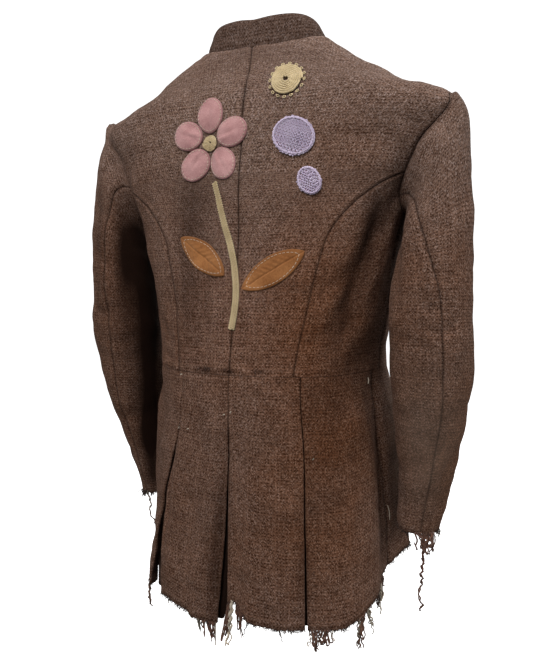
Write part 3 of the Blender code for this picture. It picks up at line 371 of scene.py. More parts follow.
# Frayed edges, as in the solids
Fray = namedtuple("Fray", "name first last")
HEM_FRAYS = [
    Fray("back_left", 1.6, 34.5),
    Fray("back_right", -31.2, -0.6),
    Fray("side_right", -83.9, -32.0),
    Fray("side_left", 53.6, 83.9),
    Fray("front_left", 84.1, 179.6),
    Fray("front_right", -179.6, -84.1),
]
FRAY_SPACING = 0.00055
FRAY_LENGTH = (0.0025, 0.0065)
FRAY_RADIUS = 0.00050

# Long threads and scraps that hang from the torn edges: width over 2 mm is a strip of cloth
Hanging = namedtuple("Hanging", "fray place width length lean tone strands loops gather radius")
ROPE_WIDTH = 0.0022
ROPE_PITCH = 0.010
HANGING_FULLNESS = 1.3
HANGING = [Hanging(*row) for row in (
    ("back_left", 5.2, 0.018, 0.026, -6, "brown", 10, 0.5, 0.3, 0.0009),
    ("back_left", 2.4, 0.006, 0.03, 12, "cream", 3, 0.0, 0.1, 0.0012),
    ("back_left", 9.5, 0.006, 0.017, -14, "grey", 4, 0.4, 0.2, 0.0007),
    ("back_left", 27.0, 0.0012, 0.02, 3, "cream", 1, 0.0, 0.0, 0.0005),
    ("back_right", -1.4, 0.011, 0.046, 16, "brown", 7, 0.2, 0.5, 0.001),
    ("back_right", -2.2, 0.004, 0.054, 7, "cream", 3, 0.0, 0.3, 0.0013),
    ("back_right", -4.6, 0.014, 0.036, -4, "brown", 8, 0.5, 0.4, 0.0009),
    ("back_right", -8.4, 0.0014, 0.022, 24, "dark", 2, 0.0, 0.0, 0.0005),
    ("back_right", -20.0, 0.0014, 0.016, -20, "dark", 2, 0.0, 0.0, 0.0005),
    ("side_right", -37.5, 0.022, 0.03, 4, "brown", 13, 0.7, 0.3, 0.001),
    ("side_right", -34.0, 0.004, 0.026, 14, "cream", 2, 0.5, 0.0, 0.0006),
    ("side_right", -42.0, 0.006, 0.02, -18, "cream", 2, 0.4, 0.2, 0.0004),
    ("side_right", -58.5, 0.01, 0.042, 4, "brown", 6, 0.0, 0.6, 0.0011),
    ("side_right", -57.0, 0.005, 0.036, 2, "grey", 3, 0.0, 0.4, 0.0008),
    ("side_right", -62.0, 0.003, 0.04, -18, "sage", 4, 0.0, 0.0, 0.001),
    ("side_right", -70.0, 0.008, 0.018, -6, "dark", 5, 0.5, 0.4, 0.0007),
    ("side_right", -74.0, 0.007, 0.046, 2, "cream", 4, 0.1, 0.3, 0.0011),
    ("side_right", -76.5, 0.014, 0.034, -6, "brown", 8, 0.6, 0.4, 0.001),
    ("side_left", 54.0, 0.002, 0.036, 10, "grey", 2, 0.0, 0.0, 0.0011),
    ("side_left", 54.3, 0.006, 0.03, 6, "grey", 1, 1.0, 0.0, 0.0009),
    ("side_left", 70.0, 0.0014, 0.016, -30, "dark", 2, 0.0, 0.0, 0.0007),
    ("front_right", -106.0, 0.009, 0.016, -24, "brown", 6, 0.5, 0.4, 0.001),
    ("front_left", 128.0, 0.008, 0.022, 8, "brown", 6, 0.5, 0.3, 0.0009),
    ("left", 84.0, 0.002, 0.052, 12, "grey", 2, 0.0, 0.0, 0.0008),
    ("left", 100.0, 0.006, 0.01, 4, "dark", 6, 0.0, 0.2, 0.0006),
    ("left", 60.0, 0.01, 0.012, 8, "dark", 6, 0.4, 0.3, 0.0006),
    ("right", 54.0, 0.027, 0.032, 0, "brown", 15, 0.5, 0.85, 0.001),
    ("right", 54.0, 0.0016, 0.104, 4, "brown", 2, 0.0, 0.0, 0.0012),
    ("right", 36.0, 0.004, 0.028, -10, "brown", 3, 0.2, 0.2, 0.0009),
    ("right", 4.0, 0.008, 0.013, -30, "grey", 6, 0.2, 0.0, 0.0007),
    ("right", 112.0, 0.008, 0.014, -20, "dark", 5, 0.4, 0.2, 0.0006),
)]

# Short ends of tacking thread, and stretches of the waist with ravelled threads
Tack = namedtuple("Tack", "turn level length lean tone")
TACKS = [Tack(*row) for row in (
    (26.8, 0.3048, 0.003, 80, "cream"),
    (-0.8, 0.264, 0.0024, 20, "cream"),
    (1.2, 0.2604, 0.0026, 60, "cream"),
    (26.4, 0.2352, 0.003, 30, "cream"),
    (19.6, 0.2364, 0.0024, 70, "cream"),
    (-78.8, 0.297, 0.008, 4, "cream"),
    (-85.2, 0.1164, 0.02, -3, "cream"),
    (-36.0, 0.21, 0.0022, 50, "sage"),
    (120.0, 0.25, 0.003, 40, "cream"),
)]
TACK_RADIUS = 0.0006
WAIST_RAVELS = [(8.0, 14.4), (-1.6, 2.0), (-13.6, -9.2)]
RAVEL_LEVELS = (0.3145, 0.3175)
RAVEL_LENGTH = (0.002, 0.0055)
TONES = {"dark": 0.22, "brown": 0.45, "grey": 0.66, "sage": 0.74, "cream": 0.95}

# Buttons down the front
BUTTON_RADIUS = 0.0105
BUTTON_HEIGHT = 0.0040
BUTTON_STEPS = 40
BUTTON_PROFILE = [(0.86, 0.0), (1.0, 0.22), (1.0, 0.55), (0.96, 0.86), (0.88, 1.0), (0.78, 0.98),
                  (0.68, 0.74), (0.30, 0.66)]
BUTTONHOLE = (0.0090, 0.0200)
BUTTONHOLE_PITCH = 0.0006
BUTTON_LEVELS = [0.337, 0.393, 0.449, 0.507, 0.577, 0.668]

# Cut-out pieces sewn on the back
FLOWER_X = 0.045
FLOWER_LEVEL = 0.600
PETALS = 5
PETAL_DISTANCE = 0.034
Motif = namedtuple("Motif", "name kind x level angle long wide thick crown")
PETAL = Motif("petal", "round", 0.0, 0.0, 0, 0.0220, 0.0185, 0.0018, 0.0030)
FLOWER_CENTER = Motif("flower_center", "round", 0.045, 0.600, 0, 0.0110, 0.0110, 0.0026, 0.0020)
ROSETTE = Motif("rosette", "round", -0.0560, 0.6700, 0, 0.0210, 0.0210, 0.0024, 0.0012)
LEAVES = [
    Motif("leaf_left", "leaf", 0.0504, 0.4561, 35, 0.0420, 0.0170, 0.0014, 0.0006),
    Motif("leaf_right", "leaf", -0.0490, 0.4375, 150, 0.0450, 0.0180, 0.0014, 0.0006),
]
BUDS = [
    Motif("bud_large", "round", -0.0700, 0.6000, 20, 0.0270, 0.0220, 0.0016, 0.0010),
    Motif("bud_small", "round", -0.0920, 0.5450, 60, 0.0170, 0.0130, 0.0016, 0.0010),
]
STEM = [(0.365, 0.000), (0.400, -0.004), (0.450, 0.004), (0.500, 0.020), (0.549, 0.036)]
STEM_WIDTH = 0.009
STITCH_RADIUS = 0.00033
STITCH_TONE = 0.97
KNIT_STITCH = 0.0046
KNIT_ROW = 0.0036
KNIT_YARN = 0.00072

# Weave: the pitch of the small check, in metres
CHECK = 0.0040
THREAD_PITCH = 0.00135
WOOL_DARK_RED = (0.0265, 0.0072, 0.0016, 1)
WOOL_LIGHT_RED = (0.1340, 0.0550, 0.0260, 1)
WOOL_DARK_GREY = (0.0300, 0.0130, 0.0068, 1)
WOOL_LIGHT_GREY = (0.1850, 0.1180, 0.0900, 1)
# The dark of the holes in the weave, the seams and torn edges, and also the colour that painted
# shade darkens the cloth toward
WOOL_HOLE_AND_SHADE = (0.0080, 0.0028, 0.0012, 1)
SPECK_RED = (0.2650, 0.1420, 0.0870, 1)
SPECK_GREY = (0.3400, 0.2650, 0.2400, 1)
SPECK_SHARE = 0.55
# The pale colour that painted light turns the cloth toward
WOOL_PAINTED_LIGHT = (0.2200, 0.1700, 0.1350, 1)
PANE_PITCHES = (0.0181, 0.0194)

# Painted shade: places in shade on the right side and on the sleeves, where the cloth is made warmer
# in tone
ShadeWarmth = namedtuple("ShadeWarmth", "middle reach height share")
SHADE_WARMTH_SPOTS = [
    ShadeWarmth((-0.128, 0.082, -0.41), 0.105, 0.34, 0.48),
    ShadeWarmth((-0.300, -0.020, -0.62), 0.120, 0.26, 0.50),
    ShadeWarmth((0.230, 0.030, -0.33), 0.140, 0.26, 0.12),
]

# Colours of loose threads by their tone
THREAD_COLORS = [
    (0.00, (0.014, 0.008, 0.006, 1)),
    (0.25, (0.036, 0.019, 0.013, 1)),
    (0.45, (0.115, 0.050, 0.032, 1)),
    (0.58, (0.190, 0.098, 0.064, 1)),
    (0.70, (0.160, 0.150, 0.115, 1)),
    (1.00, (0.620, 0.530, 0.420, 1)),
]

# Camera at the photograph's viewpoint, and the photograph's frame
FRAME_HEIGHT = 666
CAMERA_TURN = 25.0
CAMERA_DISTANCE = 1.021
CAMERA_HEIGHT = -0.286
CAMERA_DOWN = 4.7
CAMERA_ROLL = -0.3
CAMERA_SIDE = -0.002
FOCAL_PIXELS = 751.0
SENSOR = 36.0
FLOOR_LEVEL = -1.15
DOME_RADIUS = 14.0
ROOM_LIGHT = 0.21

rng = np.random.default_rng(11)


# Shape formulas

def smooth(x, points, values):
    """Read a smooth curve through the points at x."""
    points = np.asarray(points, float)
    values = np.asarray(values, float)
    x = np.clip(np.asarray(x, float), points[0], points[-1])
    step = np.diff(points)
    rise = np.diff(values) / step
    slope = np.empty(len(points))
    slope[0] = rise[0]
    slope[-1] = rise[-1]
    slope[1:-1] = (rise[:-1] * step[1:] + rise[1:] * step[:-1]) / (step[:-1] + step[1:])
    i = np.clip(np.searchsorted(points, x, side="right") - 1, 0, len(points) - 2)
    t = (x - points[i]) / step[i]
    start = (2 * t**3 - 3 * t**2 + 1) * values[i] + (t**3 - 2 * t**2 + t) * step[i] * slope[i]
    end = (3 * t**2 - 2 * t**3) * values[i + 1] + (t**3 - t**2) * step[i] * slope[i + 1]
    return start + end


def read(curve, x):
    """Read a list of (x, value) pairs as a smooth curve."""
    return smooth(x, [pair[0] for pair in curve], [pair[1] for pair in curve])


def signed_power(value, power):
    return np.sign(value) * np.abs(value) ** power


def bell(distance, reach):
    """A smooth bump: 1 at no distance, fading beyond the reach."""
    return np.exp(-((distance / reach) ** 2))


def ease(share):
    """A smooth step from 0 to 1."""
    return share**2 * (3 - 2 * share)


def unit(vectors):
    return vectors / np.maximum(np.linalg.norm(vectors, axis=-1, keepdims=True), 1e-12)


def ring_sizes(level):
    levels = [ring.level for ring in BODY]
    return {name: smooth(level, levels, [getattr(ring, name) for ring in BODY])
            for name in Section._fields[1:]}


def plain_body(turn, level):
    """Point of the body's outer surface without flutes and folds."""
    turn = np.asarray(turn, float)
    size = ring_sizes(level)
    sine = np.sin(np.radians(turn))
    cosine = np.cos(np.radians(turn))
    depth = np.where(cosine >= 0, size["back"], size["front"])
    power = 2 / size["square"]
    x = size["half"] * signed_power(sine, power)
    y = size["y_mid"] + depth * signed_power(cosine, power)
    z_back = np.asarray(level, float) - HEM_DROP
    z_end = np.where(cosine >= 0, z_back, size["z_front"])
    z = size["z_side"] + (z_end - size["z_side"]) * cosine**2
    return np.stack([x, y, z], -1)


def flute_depth(turn, level):
    """How far the skirt stands out, growing from the waist to the hem."""
    fall = np.clip(1 - np.asarray(level, float) / WAIST_LEVEL, 0, 1)
    return sum(f.out * bell(turn - f.turn, f.width) for f in FLUTES) * fall**0.8


def soft_fold_depth(turn, level):
    """How far the soft folds of the bodice stand out, fading at both ends."""
    out = 0.0
    for fold in SOFT_FOLDS:
        along = np.clip((level - fold.low_level) / (fold.high_level - fold.low_level), 0, 1)
        middle = fold.low_turn + (fold.high_turn - fold.low_turn) * along
        out = out + fold.out * bell(turn - middle, fold.width) * np.sin(np.pi * along) ** 2
    return out


def outward(turn, level):
    """Unit normal of the body's surface, pointing out."""
    turn_step = 0.5
    level_step = 0.002
    low = np.clip(np.asarray(level, float) - level_step, 0, NECK_LEVEL)
    high = np.clip(np.asarray(level, float) + level_step, 0, NECK_LEVEL)
    along = plain_body(turn + turn_step, level) - plain_body(turn - turn_step, level)
    up = plain_body(turn, high) - plain_body(turn, low)
    return unit(np.cross(up, along))


def body(turn, level, out=0.0):
    """Point of the body's surface as in the solids, moved out from it by a distance."""
    turn, level, out = np.broadcast_arrays(np.asarray(turn, float), level, out)
    distance = out + flute_depth(turn, level) + soft_fold_depth(turn, level)
    return plain_body(turn, level) + outward(turn, level) * distance[..., None]


def degrees_per_metre(turn, level):
    """How many degrees of turn one metre along the cloth takes."""
    step = 0.5
    span = plain_body(turn + step, level) - plain_body(turn - step, level)
    return 2 * step / np.linalg.norm(span, axis=-1)


def turn_at(x, level):
    """Turn of the back's point at a distance x from the centre back line."""
    size = ring_sizes(level)
    share = np.clip(np.abs(x) / size["half"], 0, 1)
    return np.sign(x) * np.degrees(np.arcsin(share ** (size["square"] / 2)))


def armhole_width(level):
    """Share of the armhole's full width at a level, 0 at its top and bottom."""
    middle = (UNDERARM_LEVEL + SHOULDER_LEVEL) / 2
    reach = (SHOULDER_LEVEL - UNDERARM_LEVEL) / 2
    height = np.clip(np.abs(np.asarray(level, float) - middle) / reach, 0, 1)
    return (1 - height**ARMHOLE_POWER) ** (1 / ARMHOLE_POWER)


def armhole_back(level):
    return SIDE_TURN - ARMHOLE_BACK * armhole_width(level)


def armhole_front(level):
    return SIDE_TURN + ARMHOLE_FRONT * armhole_width(level)


def princess(level):
    return read(PRINCESS, level)


def fore_seam(run):
    return read(FORE_SEAM, run)


def hem_level(turn):
    return np.maximum(read(HEM, turn), HEM_LOWEST)


def constant(turn):
    return [(0.0, turn), (WAIST_LEVEL, turn)]


def sleeve_ring(angle, run, inward, side):
    """Point of the sleeve's plain tube at an angle round it and a run along it."""
    runs = [ring.run for ring in SLEEVE]
    size = {name: smooth(run, runs, [getattr(ring, name) for ring in SLEEVE])
            for name in SleeveRing._fields[1:]}
    tilt = np.radians(size["tilt"])
    across = (size["wide"] - inward) * np.cos(np.radians(angle))
    behind = (size["deep"] - inward) * np.sin(np.radians(angle))
    x = size["x"] + across * np.sin(tilt)
    y = size["y"] + behind + (read(RIGHT_CARRIED_BACK, run) if side < 0 else 0.0)
    z = size["z"] + across * np.cos(tilt)
    return np.stack([x, y, z], -1)


# Folds, creases and seams

def mirrored(points, side):
    """Points for the wearer's left side (+1) or right side (-1)."""
    return points * np.array([side, 1, 1])


def ripple_waves():
    """Seeded waves that make the cloth lie unevenly: direction, phase and depth."""
    waves = []
    for wavelength, depth in RIPPLES:
        for _ in range(6):
            direction = unit(rng.normal(size=3)) * 2 * np.pi / (wavelength * rng.uniform(0.8, 1.3))
            waves.append((direction, rng.uniform(0, 2 * np.pi), depth * 0.5))
    return waves


WAVES = ripple_waves()


def ripple(points):
    return sum(depth * np.sin(points @ direction + phase) for direction, phase, depth in WAVES)


def crease_line(crease, surface):
    """Points along a crease on a surface, through its start, middle and end."""
    t = np.linspace(0, 1, 9)
    ends = np.array([crease.start, crease.middle, crease.end], float)
    first = smooth(t, [0, 0.5, 1], ends[:, 0])
    second = smooth(t, [0, 0.5, 1], ends[:, 1])
    return surface(first, second)


def crease_lines(creases, surface):
    return [(crease, crease_line(crease, surface)) for crease in creases]


def crease_depth(points, normals, lines):
    """How far out the creases move each point, measured along the cloth."""
    out = np.zeros(points.shape[:-1])
    for crease, line in lines:
        reach = crease.width * 3
        near = np.linalg.norm(points[..., None, :] - line, axis=-1).min(-1) < reach + 0.02
        if not near.any():
            continue
        spot = points[near]
        normal = normals[near]
        best = np.full(len(spot), np.inf)
        place = np.zeros(len(spot))
        for i in range(len(line) - 1):
            span = line[i + 1] - line[i]
            t = np.clip((spot - line[i]) @ span / (span @ span), 0, 1)
            away = spot - line[i] - t[:, None] * span
            away = away - normal * (away * normal).sum(-1, keepdims=True)
            distance = np.linalg.norm(away, axis=-1)
            closer = distance < best
            best = np.where(closer, distance, best)
            place = np.where(closer, (i + t) / (len(line) - 1), place)
        fade = np.sin(np.pi * np.clip(place * 0.92 + 0.04, 0, 1)) ** 0.8
        out[near] += crease.out * fade * bell(best, crease.width)
    return out


BODY_LINES = crease_lines(BODY_CREASES, body)


def painted_shade_and_light_spots():
    """Middle points of the patches of painted shade and painted light on the cloth."""
    spots = [(body(patch.turn, patch.level), patch) for patch in BODY_PAINTED_SHADE_AND_LIGHT]
    for patch in SLEEVE_PAINTED_SHADE_AND_LIGHT:
        point = sleeve_ring(patch.turn, patch.level, 0.0, patch.side)
        spots.append((mirrored(point, patch.side), patch))
    return spots


def painted_shade_and_light_tone(points):
    """How much painted shade darkens the cloth, below 0, or painted light pales it, above 0, at each
    point.
    """
    tone = np.zeros(points.shape[:-1])
    for middle, patch in PAINTED_SHADE_AND_LIGHT_SPOTS:
        stretch = np.array([1, 1, patch.reach / patch.height])
        away = np.linalg.norm((points - middle) * stretch, axis=-1)
        tone += patch.tone * bell(away, patch.reach)
    return tone


PAINTED_SHADE_AND_LIGHT_SPOTS = painted_shade_and_light_spots()


def body_out(turn, level):
    """How far the cloth stands out from the plain body: creases and its uneven lie."""
    points = body(turn, level)
    return crease_depth(points, outward(turn, level), BODY_LINES) + ripple(points)


def worn(turn, level, out=0.0):
    """Point of the cloth as worn, with its creases, moved out by a distance."""
    turn, level = np.broadcast_arrays(np.asarray(turn, float), np.asarray(level, float))
    return body(turn, level, body_out(turn, level) + out)


def armhole_point(angle, side):
    """Point of the sewn armhole: 0 top, 90 behind, 180 below, 270 in front."""
    middle = (UNDERARM_LEVEL + SHOULDER_LEVEL) / 2
    reach = (SHOULDER_LEVEL - UNDERARM_LEVEL) / 2
    height = np.cos(np.radians(angle))
    level = middle + reach * height
    width = (1 - np.abs(height) ** ARMHOLE_POWER) ** (1 / ARMHOLE_POWER)
    swing = np.where(np.sin(np.radians(angle)) >= 0, -ARMHOLE_BACK, ARMHOLE_FRONT)
    edge = worn((SIDE_TURN + swing * width) * side, level, -SEAM_SINK)
    return mirrored(edge, side) + [HEAD_GAP, 0, 0]


def sleeve(angle, run, inward=0.0, side=1):
    """Point of a sleeve as on the wearer's left, led into the armhole at its head."""
    angle, run = np.broadcast_arrays(np.asarray(angle, float), np.asarray(run, float))
    fade = np.clip(1 - run / HEAD_BLEND, 0, 1) ** 2
    shift = armhole_point(angle, side) - sleeve_ring(angle, np.zeros_like(angle), 0.0, side)
    gather = bell((angle % 360 + 40) % 360 - 60, 55) * bell(run - 0.03, 0.03)
    out = HEAD_GATHER * gather * np.sin(np.radians(angle) * 26) * np.clip(run / 0.02, 0, 1)
    if side > 0:
        turned = (angle % 360 + 180) % 360 - 180
        puff = bell(turned - 12, 42) * bell(run - 0.05, 0.035)
        out = out + HEAD_PUFF * puff * np.clip(run / 0.015, 0, 1)
    return sleeve_ring(angle, run, inward - out, side) + shift * fade[..., None]


def distance_along(points, axis):
    """Distance along the rows or columns of a grid of points, from the first one."""
    steps = np.linalg.norm(np.diff(points, axis=axis), axis=-1)
    start = np.zeros_like(np.take(steps, [0], axis=axis))
    return np.concatenate([start, np.cumsum(steps, axis=axis)], axis=axis)


def seam_roll(distance):
    """How far out a seam moves the cloth at a distance from it."""
    swell = bell(distance - SEAM_SWELL_AT, SEAM_SWELL_REACH)
    return SEAM_SWELL * swell - SEAM_SINK * bell(distance, SEAM_REACH)


def seam_closeness(distance):
    return bell(distance, SEAM_LINE)


def waist_share(turn):
    """How much of the waist seam shows at a turn: least on the wearer's right side."""
    hidden = np.clip((-turn - 14) / 12, 0, 1) * np.clip((turn + 150) / 40, 0, 1)
    return WAIST_SEAM_SHARE * (1 - 0.85 * hidden)


def dense_shares(length, step=CLOTH_STEP):
    """Shares from 0 to 1 that lie closer together beside both ends."""
    near = SEAM_STEPS / length
    count = max(int(length / step), 4)
    middle = np.linspace(0, 1, count + 1)
    middle = middle[(middle > near[-1] * 1.3) & (middle < 1 - near[-1] * 1.3)]
    return np.unique(np.concatenate([near, middle, 1 - near]))


# Meshes

def quads(index, ring=False):
    """Faces of a grid of point numbers."""
    after = np.roll(index, -1, axis=1) if ring else index[:, 1:]
    before = index if ring else index[:, :-1]
    return np.stack([before[:-1], before[1:], after[1:], after[:-1]], -1).reshape(-1, 4)


def new_object(name, points, faces, material, uv=None, values=None, tidy=True):
    """A smooth mesh object; values are named numbers for each point."""
    mesh = bpy.data.meshes.new(name)
    mesh.from_pydata(np.asarray(points).tolist(), [], [list(map(int, face)) for face in faces])
    corners = np.zeros(len(mesh.loops), np.int32)
    mesh.loops.foreach_get("vertex_index", corners)
    if uv is not None:
        layer = mesh.uv_layers.new(name="Cloth")
        layer.uv.foreach_set("vector", np.asarray(uv, np.float32)[corners].ravel())
    for key, value in (values or {}).items():
        attribute = mesh.attributes.new(key, "FLOAT", "POINT")
        attribute.data.foreach_set("value", np.asarray(value, np.float32))
    if tidy:
        shell = bmesh.new()
        shell.from_mesh(mesh)
        bmesh.ops.recalc_face_normals(shell, faces=shell.faces)
        if shell.calc_volume(signed=True) < 0:
            bmesh.ops.reverse_faces(shell, faces=shell.faces)
        shell.to_mesh(mesh)
        shell.free()
    mesh.shade_smooth()
    mesh.set_sharp_from_angle(angle=math.radians(55))
    mesh.materials.append(material)
    item = bpy.data.objects.new(name, mesh)
    bpy.context.scene.collection.objects.link(item)
    return item


def cloth_wall(name, outer, inner, seam, fray, material, ring=False, tone=0.0):
    """A piece of cloth between two skins, with its weave laid in metres."""
    rows, columns = outer.shape[:2]
    count = rows * columns
    index = np.arange(count).reshape(rows, columns)
    faces = [quads(index, ring), quads(index + count, ring)[:, ::-1]]
    for row in (0, -1):
        edge = index[row]
        pair = np.stack([edge, edge + count])
        faces.append(quads(pair, ring))
    if not ring:
        for column in (0, -1):
            edge = index[:, column]
            faces.append(quads(np.stack([edge, edge + count])))
    across = distance_along(outer, 1)
    across = across - across[:, columns // 2][:, None]
    along = np.broadcast_to(distance_along(outer, 0).mean(1)[:, None], across.shape)
    uv = np.stack([across, along], -1).reshape(-1, 2)
    inside = np.concatenate([np.zeros(count), np.ones(count)])
    values = {
        "seam": np.tile(seam.ravel(), 2),
        "fray": np.tile(fray.ravel(), 2),
        "inside": inside,
        # worn carries the painted shade and painted light of the patches, plus the piece's tone:
        # painted shade on pleat underlays and seam allowances, and an even darkening of the collar
        "worn": np.tile(painted_shade_and_light_tone(outer).ravel() + tone, 2),
    }
    points = np.concatenate([outer.reshape(-1, 3), inner.reshape(-1, 3)])
    return new_object(name, points, np.concatenate(faces), material, np.tile(uv, (2, 1)), values)


def dress(piece, nodes, grid=None):
    """Let a piece ride on the jacket and replace its solids."""
    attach(piece, "root")
    if nodes:
        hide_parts(*nodes)
    if grid is not None:
        a = grid[1:, :-1] - grid[:-1, :-1]
        b = grid[:-1, 1:] - grid[:-1, :-1]


def tube_mesh(lines, radii, normals, sides=4):
    """Points and faces of tubes along lines that share a number of points."""
    lines = np.asarray(lines, float)
    count, length = lines.shape[:2]
    along = unit(np.gradient(lines, axis=1))
    first = unit(np.cross(along, normals))
    second = np.cross(along, first)
    angle = 2 * np.pi * np.arange(sides) / sides
    ring = (first[:, :, None] * np.cos(angle)[:, None] + second[:, :, None] * np.sin(angle)[:, None])
    points = lines[:, :, None] + ring * np.asarray(radii)[..., None, None]
    index = np.arange(count * length * sides).reshape(count, length, sides)
    after = np.roll(index, -1, axis=2)
    faces = np.stack([index[:, :-1], after[:, :-1], after[:, 1:], index[:, 1:]], -1).reshape(-1, 4)
    caps = [index[:, 0, ::-1], index[:, -1]]
    return points.reshape(-1, 3), faces, np.concatenate(caps)


def tube_object(name, batches, material):
    """One object of many tubes; a batch is (lines, radii, normals, sides, tones)."""
    points = []
    faces = []
    tones = []
    shift = 0
    for lines, radii, normals, sides, tone in batches:
        spots, sheets, caps = tube_mesh(lines, radii, normals, sides)
        points.append(spots)
        faces += list(sheets + shift) + list(caps + shift)
        per_line = spots.shape[0] // len(lines)
        tones.append(np.repeat(np.broadcast_to(tone, len(lines)), per_line))
        shift += len(spots)
    return new_object(name, np.concatenate(points), faces, material,
                      values={"tone": np.concatenate(tones)}, tidy=False)


# Materials

class Term:
    """A value in a shader, for use in sums and products."""

    def __init__(self, shader, socket):
        self.shader = shader
        self.socket = socket

    def __add__(self, other):
        return self.shader.math("ADD", self, other)

    def __sub__(self, other):
        return self.shader.math("SUBTRACT", self, other)

    def __rsub__(self, other):
        return self.shader.math("SUBTRACT", other, self)

    def __mul__(self, other):
        return self.shader.math("MULTIPLY", self, other)

    def __truediv__(self, other):
        return self.shader.math("DIVIDE", self, other)


class Shader:
    """A node material with short ways to add nodes."""

    def __init__(self, name):
        self.material = bpy.data.materials.new(name)
        self.material.use_nodes = True
        self.tree = self.material.node_tree
        self.surface = self.tree.nodes["Principled BSDF"]

    def term(self, kind, output, inputs=None, **settings):
        """An output of a new node, with its settings and the values of its inputs."""
        item = self.tree.nodes.new("ShaderNode" + kind)
        for key, value in settings.items():
            setattr(item, key, value)
        for key, value in (inputs or {}).items():
            self.set(item.inputs[key], value)
        return Term(self, item.outputs[output])

    def set(self, socket, value):
        if isinstance(value, Term):
            self.tree.links.new(value.socket, socket)
        else:
            socket.default_value = value

    def math(self, operation, a, b=0.0, clamp=False):
        return self.term("Math", 0, {0: a, 1: b}, operation=operation, use_clamp=clamp)

    def vector(self, operation, a, b=(0, 0, 0)):
        """A vector operation: SCALE takes a number as b, and LENGTH gives a number."""
        second = "Scale" if operation == "SCALE" else 1
        output = "Value" if operation == "LENGTH" else "Vector"
        return self.term("VectorMath", output, {0: a, second: b}, operation=operation)

    def point(self, x, y, z=0.0):
        return self.term("CombineXYZ", 0, {0: x, 1: y, 2: z})

    def mix(self, share, a, b):
        return self.term("Mix", 2, {0: share, 6: a, 7: b}, data_type="RGBA")

    def noise(self, vector, scale, detail=2.0, rough=0.5):
        return self.term("TexNoise", "Fac", {"Vector": vector, "Scale": scale, "Detail": detail,
                                             "Roughness": rough})

    def chance(self, vector):
        return self.term("TexWhiteNoise", "Value", {0: vector})

    def spread(self, value, low, high):
        """Stretch a value between low and high to 0 to 1."""
        return self.term("MapRange", "Result", {"Value": value, "From Min": low, "From Max": high})

    def off_middle(self, value):
        """How far a value is from the middle between two whole numbers."""
        return self.math("ABSOLUTE", self.math("FRACT", value) - 0.5)

    def attribute(self, name):
        return self.term("Attribute", "Fac", attribute_name=name)

    def place(self):
        """The point's place in the row frame."""
        return self.term("TexCoord", "Object")

    def bump(self, height, distance, strength=1.0):
        normal = self.term("Bump", "Normal", {"Height": height, "Distance": distance,
                                              "Strength": strength})
        self.set(self.surface.inputs["Normal"], normal)

    def finish(self, color, roughness, sheen=0.0, sheen_color=(1, 1, 1, 1)):
        for key, value in (("Base Color", color), ("Roughness", roughness), ("Metallic", 0.0),
                           ("Specular IOR Level", 0.08), ("Sheen Weight", sheen),
                           ("Sheen Roughness", 0.5), ("Sheen Tint", sheen_color)):
            self.set(self.surface.inputs[key], value)
        return self.material


